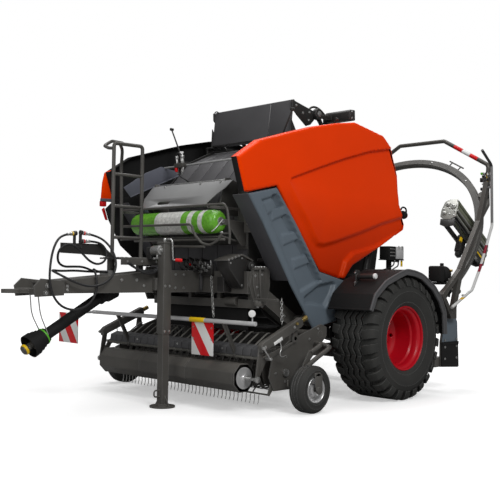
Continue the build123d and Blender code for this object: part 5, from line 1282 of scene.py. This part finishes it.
# Motor and its fittings behind the fender
motor_dark = [block(at(0.762, -1.345, 1.118), at(0.842, -1.188, 1.282), 0.018),
              rod(at(0.842, -1.266, 1.196), at(0.958, -1.266, 1.196), 0.086, 40, 0.010),
              block(at(0.780, -1.310, 1.090), at(0.990, -1.222, 1.116), 0.004),
              rod(at(0.905, -1.266, 1.275), at(0.905, -1.266, 1.312), 0.020, 18, 0.006),
              pipe([at(0.985, -1.266, 1.180), at(1.030, -1.280, 1.150), at(1.020, -1.300, 1.060),
                    at(0.980, -1.310, 0.960)], 0.010, 0.030)]
motor_brass = [rod(at(0.958, -1.266, 1.196), at(0.978, -1.266, 1.196), 0.052, 30, 0.004),
               rod(at(0.978, -1.266, 1.180), at(1.004, -1.266, 1.180), 0.018, 6),
               rod(at(0.930, -1.352, 1.235), at(0.930, -1.372, 1.235), 0.014, 14)]
motor_steel = [bolt(at(0.978, -1.266 + 0.040 * math.cos(turn), 1.196 + 0.040 * math.sin(turn)),
                    Vector((1, 0, 0)), 0.006) for turn in (0.8, 2.3, 3.9, 5.4)]
motor_steel += [rod(at(0.900, -1.350, 1.150), at(0.960, -1.356, 1.130), 0.007, 12)]
assemble_pair("motor_{}", ((motor_dark, guard_plastic), (motor_brass, brass), (motor_steel, bare_steel)),
              "frame", "rear_lockers")

# Control box
control_grey = [block(at(0.562, -0.938, 1.347), at(0.690, -0.806, 1.476), 0.008),
                block(at(0.566, -0.941, 1.360), at(0.686, -0.938, 1.466), 0.001)]
control_dark = [block(at(0.436, -0.932, 1.345), at(0.558, -0.810, 1.478), 0.006),
                block(at(0.432, -0.938, 1.335), at(0.700, -0.802, 1.346), 0.002),
                block(at(0.690, -0.930, 1.346), at(0.700, -0.812, 1.480), 0.002),
                block(at(0.540, -0.850, 1.240), at(0.600, -0.820, 1.336), 0.003),
                block(at(0.560, -0.850, 1.200), at(0.600, -0.742, 1.240), 0.003),
                pipe([at(0.640, -0.900, 1.335), at(0.650, -0.905, 1.280), at(0.560, -0.890, 1.240),
                      at(0.480, -0.860, 1.180)], 0.007, 0.030),
                pipe([at(0.600, -0.880, 1.335), at(0.600, -0.885, 1.290), at(0.520, -0.870, 1.250),
                      at(0.430, -0.840, 1.230)], 0.007, 0.030)]
control_dark += [rod(at(x, -0.905, 1.315), at(x, -0.905, 1.336), 0.012, 14)
                 for x in (0.47, 0.51, 0.55, 0.60, 0.64)]
control_steel = [block(at(x - 0.006, -0.942, 1.440), at(x + 0.006, -0.936, 1.484), 0.001)
                 for x in (0.60, 0.66)]
control_steel += [block(at(0.455, -0.936, z), at(0.540, -0.931, z + 0.010), 0.001)
                  for z in (1.375, 1.410, 1.445)]
tag = [block(at(0.668, -0.920, 1.270), at(0.700, -0.914, 1.334), 0.002)]
assemble("control_dress",
         paint(control_grey, box_plastic) + paint(control_dark, guard_plastic) +
         paint(control_steel, bare_steel) + paint(tag, yellow_plastic), "frame",
         ("control_box",))

# Round lamps on the doors' rear edges
lamp_dark = [rod(at(0.640, -0.915, 1.835), at(0.690, -0.915, 1.835), 0.012, 14),
             rod(at(0.685, -0.915, 1.820), at(0.735, -0.915, 1.812), 0.042, 28, 0.008),
             pipe([at(0.650, -0.915, 1.850), at(0.690, -0.915, 1.900), at(0.760, -0.915, 1.890),
                   at(0.770, -0.915, 1.850), at(0.735, -0.915, 1.790)], 0.009, 0.025)]
lamp_red = [rod(at(0.735, -0.915, 1.812), at(0.744, -0.915, 1.811), 0.036, 28, 0.003)]
assemble_pair("rear_lamp_{}", ((lamp_dark, guard_plastic), (lamp_red, red_plastic)), "door_{}")

# Feed plate on top, in two halves, with its arms, rings and drive housing
plate_line = [(-0.690, 2.520), (-0.650, 2.872), (-0.642, 2.880), (-0.624, 2.874), (-0.626, 2.866),
              (-0.640, 2.868), (-0.678, 2.520)]
feed = [plate(plate_line, low, high, 0.003) for low, high in ((-0.550, -0.254), (-0.246, 0.550))]
feed_dark = [block(at(-0.684, -0.560, 2.507), at(-0.600, 0.560, 2.520), 0.003)]
feed_steel = []
for side in (-1, 1):
    y = side * 0.5545
    feed_dark += [plate([(-0.675, 2.870), (-0.340, 2.800), (-0.290, 2.775), (-0.330, 2.730), (-0.400, 2.660),
                         (-0.460, 2.640), (-0.600, 2.730), (-0.672, 2.790)], y - 0.0095, y + 0.0095, 0.004),
                  plate([(-0.700, 2.500), (-0.690, 2.700), (-0.600, 2.560), (-0.560, 2.500)], y - 0.0045,
                        y + 0.0055, 0.002),
                  block(at(-0.700, y - 0.005, 2.495), at(-0.600, side * 0.637, 2.507), 0.002),
                  block(at(-0.690, side * 0.627, 2.380), at(-0.620, side * 0.637, 2.500), 0.002),
                  turned([(0.030, -0.025), (0.052, -0.025), (0.057, -0.020), (0.057, 0.020), (0.052, 0.025),
                          (0.030, 0.025)], at(-0.324, side * 0.588, 2.772), along_y, 40),
                  rod(at(-0.300, side * 0.587, 2.745), at(-0.140, side * 0.587, 2.520), 0.014, 16),
                  rod(at(-0.360, side * 0.566, 2.790), at(-0.150, side * 0.566, 2.560), 0.010, 14),
                  block(at(-0.160, side * 0.580, 2.500), at(-0.120, side * 0.615, 2.545), 0.003)]
    feed_steel += [bolt(at(x, y + side * 0.010, z), along_y * side, 0.010) for x, z in
                   ((-0.620, 2.820), (-0.520, 2.760), (-0.430, 2.700), (-0.420, 2.780))]
    feed_steel += [rod(at(-0.324, side * 0.560, 2.772), at(-0.324, side * 0.618, 2.772), 0.028, 24)]
feed_dark += [plate([(-0.300, 2.735), (-0.300, 2.770), (-0.090, 2.790), (-0.090, 2.745)], -0.592, -0.572,
                    0.003),
              plate([(-0.105, 2.722), (-0.112, 2.800), (-0.090, 2.828), (-0.014, 2.832), (-0.008, 2.724)],
                    -0.820, -0.500, 0.010),
              rod(at(-0.060, -0.826, 2.776), at(-0.060, -0.820, 2.776), 0.036, 24),
              block(at(-0.100, -0.500, 2.715), at(-0.020, -0.470, 2.790), 0.006),
              pipe([at(-0.440, -0.520, 2.680), at(-0.360, -0.510, 2.850), at(-0.230, -0.510, 2.868),
                    at(-0.130, -0.520, 2.800), at(-0.090, -0.530, 2.760)], 0.011, 0.060),
              pipe([at(-0.646, 0.500, 2.870), at(-0.680, 0.500, 2.882), at(-0.706, 0.500, 2.870),
                    at(-0.706, 0.500, 2.840)], 0.006, 0.012)]
feed_steel += [bolt(at(-0.070, -0.820, z), -along_y, 0.009) for z in (2.745, 2.808)]
assemble("feed_plate",
         paint(feed, hood_plastic) + paint(feed_dark, black_paint) + paint(feed_steel, bare_steel), "frame",
         ("top_plate",))

# Front of the chamber above the pickup: beam, curtain, ribbed cover, column and tank
front_dark = [block(at(-1.330, -0.640, 0.665), at(-1.322, 0.640, 0.872), 0.001),
              block(at(-1.338, -0.880, 0.700), at(-1.200, -0.745, 0.716), 0.003)]
front_parts = [block(at(-1.372, -0.780, 0.868), at(-1.322, 0.640, 0.946), 0.006),
               block(at(-1.372, -1.040, 0.940), at(-1.350, -0.740, 0.962), 0.003),
               rod(at(-1.385, -0.420, 0.925), at(-1.385, -0.560, 0.925), 0.040, 24, 0.004)]
front_parts += [block(at(-1.372, y - 0.020, 0.940), at(-1.326, y + 0.020, 1.000), 0.003)
                for y in (-0.700, -0.300, 0.100, 0.500)]
ribs = [rod(at(-1.446, -0.150, z), at(-1.446, 0.250, z), 0.030, 20, 0.004) for z in (1.035, 1.095, 1.155)]
ribs += [plate([(-1.450, 1.010), (-1.480, 1.030), (-1.480, 1.180), (-1.450, 1.196)], low, low + 0.010, 0.002)
         for low in (-0.165, 0.252)]
column = [plate([(-1.402, 1.214), (-1.402, 1.232), (-1.255, 1.238), (-1.255, 1.220)], -0.800, -0.758, 0.003),
          plate([(-1.395, 1.216), (-1.262, 1.222), (-1.262, 1.080), (-1.300, 0.930), (-1.350, 0.930),
                 (-1.402, 1.080)], -0.772, -0.760, 0.004),
          plate([(-1.348, 1.216), (-1.330, 1.216), (-1.318, 0.950), (-1.330, 0.950)], -0.800, -0.770, 0.003),
          rod(at(-1.348, -0.790, 0.890), at(-1.348, -0.790, 0.935), 0.052, 28, 0.006),
          block(at(-1.380, -0.800, 0.900), at(-1.315, -0.745, 0.945), 0.005)]
column_bolts = [bolt(at(x, -0.782, 1.234), Vector((0, 0, 1)), 0.012)
                for x in (-1.385, -1.350, -1.310, -1.272)]
column_bolts += [bolt(at(x, -0.805, 0.892), Vector((0, 0, -1)), 0.013) for x in (-1.375, -1.320)]
column_bolts += [bolt(at(x, -0.772, z), -along_y, 0.009) for x, z in ((-1.375, 1.160), (-1.290, 1.170),
                                                                    (-1.350, 1.060), (-1.335, 0.985))]
tank = [plate([(-1.640, 1.285), (-1.620, 1.215), (-1.470, 1.048), (-1.440, 1.048), (-1.440, 1.200),
               (-1.345, 1.200), (-1.345, 1.285), (-1.475, 1.335)], -0.700, -0.540, 0.012),
        plate([(-1.655, 1.288), (-1.648, 1.300), (-1.478, 1.352), (-1.340, 1.300), (-1.340, 1.286),
               (-1.476, 1.336)], -0.712, -0.530, 0.003),
        rod(at(-1.375, -0.700, 1.245), at(-1.375, -0.732, 1.245), 0.042, 28, 0.008),
        block(at(-1.540, -0.540, 1.010), at(-1.440, -0.450, 1.150), 0.008)]
tank_steel = [rod(at(-1.375, -0.732, 1.252), at(-1.375, -0.738, 1.252), 0.014, 18)]
tank_steel += [bolt(at(-1.640 + 0.040 * number, -0.705, 1.296 + 0.012 * number), -along_y, 0.008)
               for number in range(4)]
tank_steel += [bolt(at(x, -0.700, z), -along_y, 0.007)
               for x, z in ((-1.612, 1.270), (-1.470, 1.075), (-1.360, 1.215), (-1.470, 1.315))]
assemble("front_frame_fittings", paint(front_dark, guard_plastic) + paint(front_parts + column, frame_paint) +
         paint(ribs, lip_plastic) + paint(column_bolts, bare_steel), "frame")
assemble("tank_dress", paint(tank[:1] + tank[2:], black_paint) + paint(tank[1:2], frame_paint) +
         paint(tank_steel, bare_steel), "frame", ("oil_unit",))

# Valves and fittings by the ladder's foot
valve_steel = []
valve_dark = []
for number in range(9):
    y = 0.02 - 0.038 * number
    lift = (0.014, 0.046, 0.000, 0.030, 0.058, 0.008, 0.040, 0.020, 0.052)[number]
    valve_steel += [rod(at(-1.452, y, 1.180 + lift), at(-1.485, y, 1.180 + lift), 0.014, 6),
                    rod(at(-1.485, y, 1.180 + lift), at(-1.510, y, 1.182 + lift), 0.010, 14),
                    rod(at(-1.470, y - 0.012, 1.198 + lift), at(-1.474, y - 0.012, 1.240 + lift), 0.008, 12)]
    valve_dark += [pipe([at(-1.510, y, 1.182 + lift), at(-1.555, y, 1.190 + lift),
                         at(-1.560, y + 0.05, 1.270 + lift), at(-1.480, y + 0.07, 1.300),
                         at(-1.380, y + 0.08, 1.290)], 0.0075, 0.040)]
valve_dark += [block(at(-1.470, -0.310, 1.150), at(-1.440, 0.040, 1.262), 0.005),
               block(at(-1.560, 0.420, 1.010), at(-1.440, 0.700, 1.190), 0.008)]
valve_steel += [rod(at(-1.560, y, z), at(-1.590, y, z), 0.016, 6) for y in (0.470, 0.530, 0.590, 0.650)
                for z in (1.060, 1.130)]
white_square = [block(at(-1.476, 0.000, 1.128), at(-1.468, 0.050, 1.174), 0.002)]
colour_knobs = [rod(at(-1.505, -0.060, 1.255), at(-1.525, -0.060, 1.256), 0.012, 14)]
assemble("valve_dress",
         paint(valve_steel, bare_steel) + paint(valve_dark, black_paint) + paint(white_square, white_paint) +
         paint(colour_knobs, red_plastic), "frame", ("valve_block",))

# Bolts along the drawbar and the beams
frame_bolts = [bolt(at(x, -0.140, z), -along_y, 0.010)
               for x, z in ((-2.90, 1.060), (-2.90, 1.030), (-2.36, 1.110), (-2.20, 1.110), (-2.12, 1.060),
                            (-1.76, 1.160), (-1.76, 1.040), (-1.66, 1.160), (-1.66, 1.040))]
frame_bolts += [bolt(at(-1.440, y, z), forward, 0.011) for y in (-0.420, 0.360) for z in (1.040, 1.160)]
frame_bolts += [bolt(at(x, -0.740, z), -along_y, 0.012)
                for x, z in ((-0.950, 0.790), (-0.820, 0.560), (-0.820, 0.470), (0.150, 0.450),
                             (0.780, 0.420))]
assemble("frame_bolts", paint(frame_bolts, bare_steel), "frame")

scrap([bolt_head])

# Floor and light: the paper and the sky are bright for the camera and dimmer as light on the machine
clear()
bpy.ops.mesh.primitive_plane_add(size=80, location=(0, 0, 0))
floor = bpy.context.object
floor.name = "floor"
ground = bpy.data.materials.new("floor_paper")
ground.use_nodes = True
tree = ground.node_tree
tree.nodes.clear()
paper = tree.nodes.new("ShaderNodeBsdfDiffuse")
glow = tree.nodes.new("ShaderNodeEmission")
glow.inputs["Color"].default_value = (1, 1, 1, 1)
both = tree.nodes.new("ShaderNodeAddShader")
seen = tree.nodes.new("ShaderNodeLightPath")
reach = tree.nodes.new("ShaderNodeVectorMath")
reach.operation = "LENGTH"
tree.links.new(tree.nodes.new("ShaderNodeTexCoord").outputs["Object"], reach.inputs[0])
fade = tree.nodes.new("ShaderNodeMapRange")
fade.inputs["From Min"].default_value = 4.0
fade.inputs["From Max"].default_value = 11.0
fade.inputs["To Min"].default_value = 0.42
fade.inputs["To Max"].default_value = 1.0
tree.links.new(reach.outputs["Value"], fade.inputs["Value"])
tone = tree.nodes.new("ShaderNodeMix")
tone.data_type = "RGBA"
tone.inputs[6].default_value = (0.42, 0.42, 0.42, 1)
tone.inputs[7].default_value = (0.86, 0.86, 0.86, 1)
tree.links.new(seen.outputs["Is Camera Ray"], tone.inputs[0])
tree.links.new(tone.outputs[2], paper.inputs["Color"])
gain = tree.nodes.new("ShaderNodeMath")
gain.operation = "MULTIPLY"
tree.links.new(fade.outputs["Result"], gain.inputs[1])
tree.links.new(seen.outputs["Is Camera Ray"], gain.inputs[0])
tree.links.new(gain.outputs[0], glow.inputs["Strength"])
tree.links.new(paper.outputs[0], both.inputs[0])
tree.links.new(glow.outputs[0], both.inputs[1])
tree.links.new(both.outputs[0], tree.nodes.new("ShaderNodeOutputMaterial").inputs["Surface"])
floor.data.materials.append(ground)

world = bpy.data.worlds.new("studio")
bpy.context.scene.world = world
world.use_nodes = True
sky = world.node_tree
back = sky.nodes["Background"]
back.inputs["Color"].default_value = (1, 1, 1, 1)
path = sky.nodes.new("ShaderNodeLightPath")
strength = sky.nodes.new("ShaderNodeMapRange")
strength.inputs["To Min"].default_value = 0.20
strength.inputs["To Max"].default_value = 1.0
sky.links.new(path.outputs["Is Camera Ray"], strength.inputs["Value"])
sky.links.new(strength.outputs["Result"], back.inputs["Strength"])

for name, place, size, power in (("key", (-4.0, -9.0, 7.5), 4.0, 560), ("front", (-9.0, -2.0, 4.5), 5.0, 170),
                                 ("top", (1.0, 1.0, 9.0), 6.0, 420), ("rear", (8.0, 5.0, 5.0), 5.0, 160)):
    lamp = bpy.data.lights.new(name, "AREA")
    lamp.shape = "SQUARE"
    lamp.size = size
    lamp.energy = power
    holder = bpy.data.objects.new(name, lamp)
    bpy.context.scene.collection.objects.link(holder)
    spot = at(*place)
    holder.location = spot
    holder.rotation_euler = (at(-0.4, 0, 1.2) - spot).to_track_quat("-Z", "Y").to_euler()

bpy.context.scene.view_settings.view_transform = "Standard"
